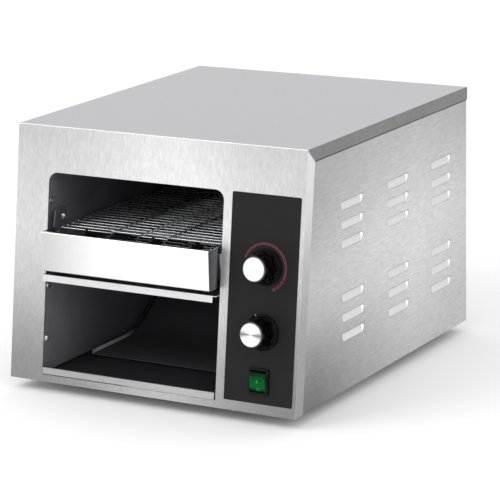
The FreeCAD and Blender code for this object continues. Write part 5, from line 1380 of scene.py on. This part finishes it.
class TOASTER_OT_screws(Operator):
    """Builds the cross-head screws in the window and at the rear, paints those in the feet and softens
    the cord gland
    """
    bl_idname = "toaster.screws"
    bl_label = "Screws"

    def execute(self, context):
        steel = turned_metal("screw_steel", (0.62, 0.62, 0.62), 0.24)
        places = []
        for z in (236.5, 125.3, 55.0):
            places.append(at(-166.0, 45.0 * z / 335.0 + 8.0, z))
        places.append(at(-155.0, 49.5, 214.0))
        turns = [(0.3 * k, math.radians(90.0), 0.0) for k in range(len(places))]
        scattered("window_screw_heads", screw_head(3.8, 2.0, 1.1), places, turns, steel,
                  nodes=("window_screws",))
        rear = []
        for side in (-1, 1):
            for z in (20.0, 110.0, 200.0, 290.0):
                rear.append(at(side * 204.0, 509.0, z))
        scattered("rear_screw_heads", screw_head(3.8, 2.0, 1.1), rear,
                  [(math.radians(-90.0), 0.25 * k, 0.0) for k in range(len(rear))], steel,
                  nodes=("rear_screws",))
        paint_node("foot_screws", steel)
        gland = moulded("gland_plastic", (0.012, 0.012, 0.012), 0.4)
        rounded_sheet("cord_gland", "cord_gland_body", [gland], edge=0.8, segments=3)
        paint_node("gland_nut", gland)
        return {"FINISHED"}


class TOASTER_OT_feet(Operator):
    """Softens the rubber feet"""
    bl_idname = "toaster.feet"
    bl_label = "Feet"

    def execute(self, context):
        rubber = moulded("foot_rubber", (0.012, 0.012, 0.012), 0.75, 0.2, 0.4, 500.0)
        rounded_sheet("rubber_feet", "rubber_foot_set", [rubber], edge=0.9, segments=3)
        return {"FINISHED"}


# Stage

CAMERA = {"angles": (29.80, 14.08, -1.20), "aim": (9.3, 255.0, 138.5), "distance": 3.4703}


class TOASTER_OT_stage(Operator):
    """Builds the floor, the lights and the camera"""
    bl_idname = "toaster.stage"
    bl_label = "Studio"

    def execute(self, context):
        values = settings().stage
        scene = bpy.context.scene
        scene.view_settings.view_transform = "Standard"
        material, tree, shader = new_material("studio_floor")
        cloud = grain_noise(tree, (1.5, 1.5, 1.5), 2.0, 0.5)
        floor = tuple(values.floor)
        base = blend(tree, scaled(floor, 0.995), floor, cloud)
        wire(tree, base, shader.inputs["Base Color"])
        shader.inputs["Roughness"].default_value = 0.8
        shader.inputs["Specular IOR Level"].default_value = 0.1
        bm = bmesh.new()
        bmesh.ops.create_grid(bm, x_segments=4, y_segments=4, size=14.0)
        mesh = bpy.data.meshes.new("studio_floor")
        bm.to_mesh(mesh)
        bm.free()
        mesh.materials.append(material)
        ground = bpy.data.objects.new("studio_floor", mesh)
        scene.collection.objects.link(ground)

        world = bpy.data.worlds.new("studio_sky")
        scene.world = world
        world.use_nodes = True
        sky = world.node_tree
        sky.nodes.clear()
        rays = add(sky, "ShaderNodeLightPath").outputs
        seen = calc(sky, "MAXIMUM", rays["Is Camera Ray"], rays["Is Glossy Ray"])
        seen = calc(sky, "MAXIMUM", seen, rays["Is Transmission Ray"])
        mix = add(sky, "ShaderNodeMixShader")
        wire(sky, seen, mix.inputs["Fac"])
        for socket, strength in ((1, values.sky), (2, 1.0)):
            light = add(sky, "ShaderNodeBackground")
            light.inputs["Color"].default_value = (1.0, 1.0, 1.0, 1.0)
            light.inputs["Strength"].default_value = strength
            wire(sky, light.outputs[0], mix.inputs[socket])
        wire(sky, mix.outputs[0], add(sky, "ShaderNodeOutputWorld").inputs["Surface"])

        def lamp(name, place, aim, size, power):
            light = bpy.data.lights.new(name, "AREA")
            light.shape = "RECTANGLE"
            light.size = size[0]
            light.size_y = size[1]
            light.energy = power
            piece = bpy.data.objects.new(name, light)
            scene.collection.objects.link(piece)
            piece.location = place
            piece.rotation_euler = (Vector(aim) - Vector(place)).to_track_quat("-Z", "Y").to_euler()
            return piece

        lamp("key_lamp", (-1.6, -2.2, 2.4), (0.0, 0.0, 0.2), (1.8, 1.4), values.key)
        lamp("fill_lamp", (2.6, -1.6, 1.6), (0.0, 0.0, 0.15), (1.6, 1.6), values.key * 0.35)

        azimuth, elevation, roll = (math.radians(angle) for angle in CAMERA["angles"])
        back = Vector((math.sin(azimuth) * math.cos(elevation),
                       -math.cos(azimuth) * math.cos(elevation), math.sin(elevation)))
        right = Vector((math.cos(azimuth), math.sin(azimuth), 0.0))
        up = back.cross(right)
        right_turned = right * math.cos(roll) + up * math.sin(roll)
        up_turned = up * math.cos(roll) - right * math.sin(roll)
        place = at(*CAMERA["aim"]) + back * CAMERA["distance"]
        camera_data = bpy.data.cameras.new("photo_camera")
        camera_data.lens = values.lens
        camera_data.sensor_width = 36.0
        camera_data.clip_end = 60.0
        camera = bpy.data.objects.new("photo_camera", camera_data)
        scene.collection.objects.link(camera)
        turn = Matrix((right_turned, up_turned, back)).transposed().to_4x4()
        camera.matrix_world = Matrix.Translation(place) @ turn
        scene.camera = camera
        return {"FINISHED"}


STEPS = ("case", "chamber", "belt", "drive", "heaters", "controls", "switch", "screws", "feet",
         "stage")


class TOASTER_PT_sidebar(Panel):
    """Lists the toaster's settings and its steps"""
    bl_idname = "TOASTER_PT_sidebar"
    bl_label = "Conveyor Toaster"
    bl_space_type = "VIEW_3D"
    bl_region_type = "UI"
    bl_category = "Toaster"

    def draw(self, context):
        values = context.scene.conveyor_toaster
        for group in (values.steel, values.belt, values.controls, values.stage):
            box = self.layout.box()
            for key in group.__annotations__:
                box.prop(group, key)
        for step in STEPS:
            self.layout.operator("toaster." + step)


CLASSES = (ToasterSteel, ToasterBelt, ToasterControls, ToasterStage, ToasterSettings,
           TOASTER_OT_case, TOASTER_OT_chamber, TOASTER_OT_belt, TOASTER_OT_drive,
           TOASTER_OT_heaters, TOASTER_OT_controls, TOASTER_OT_switch, TOASTER_OT_screws,
           TOASTER_OT_feet, TOASTER_OT_stage, TOASTER_PT_sidebar)


def register():
    for item in CLASSES:
        bpy.utils.register_class(item)
    bpy.types.Scene.conveyor_toaster = PointerProperty(type=ToasterSettings)


def unregister():
    del bpy.types.Scene.conveyor_toaster
    for item in reversed(CLASSES):
        bpy.utils.unregister_class(item)


def main():
    register()
    for step in STEPS:
        getattr(bpy.ops.toaster, step)()


if __name__ == "__main__":
    main()
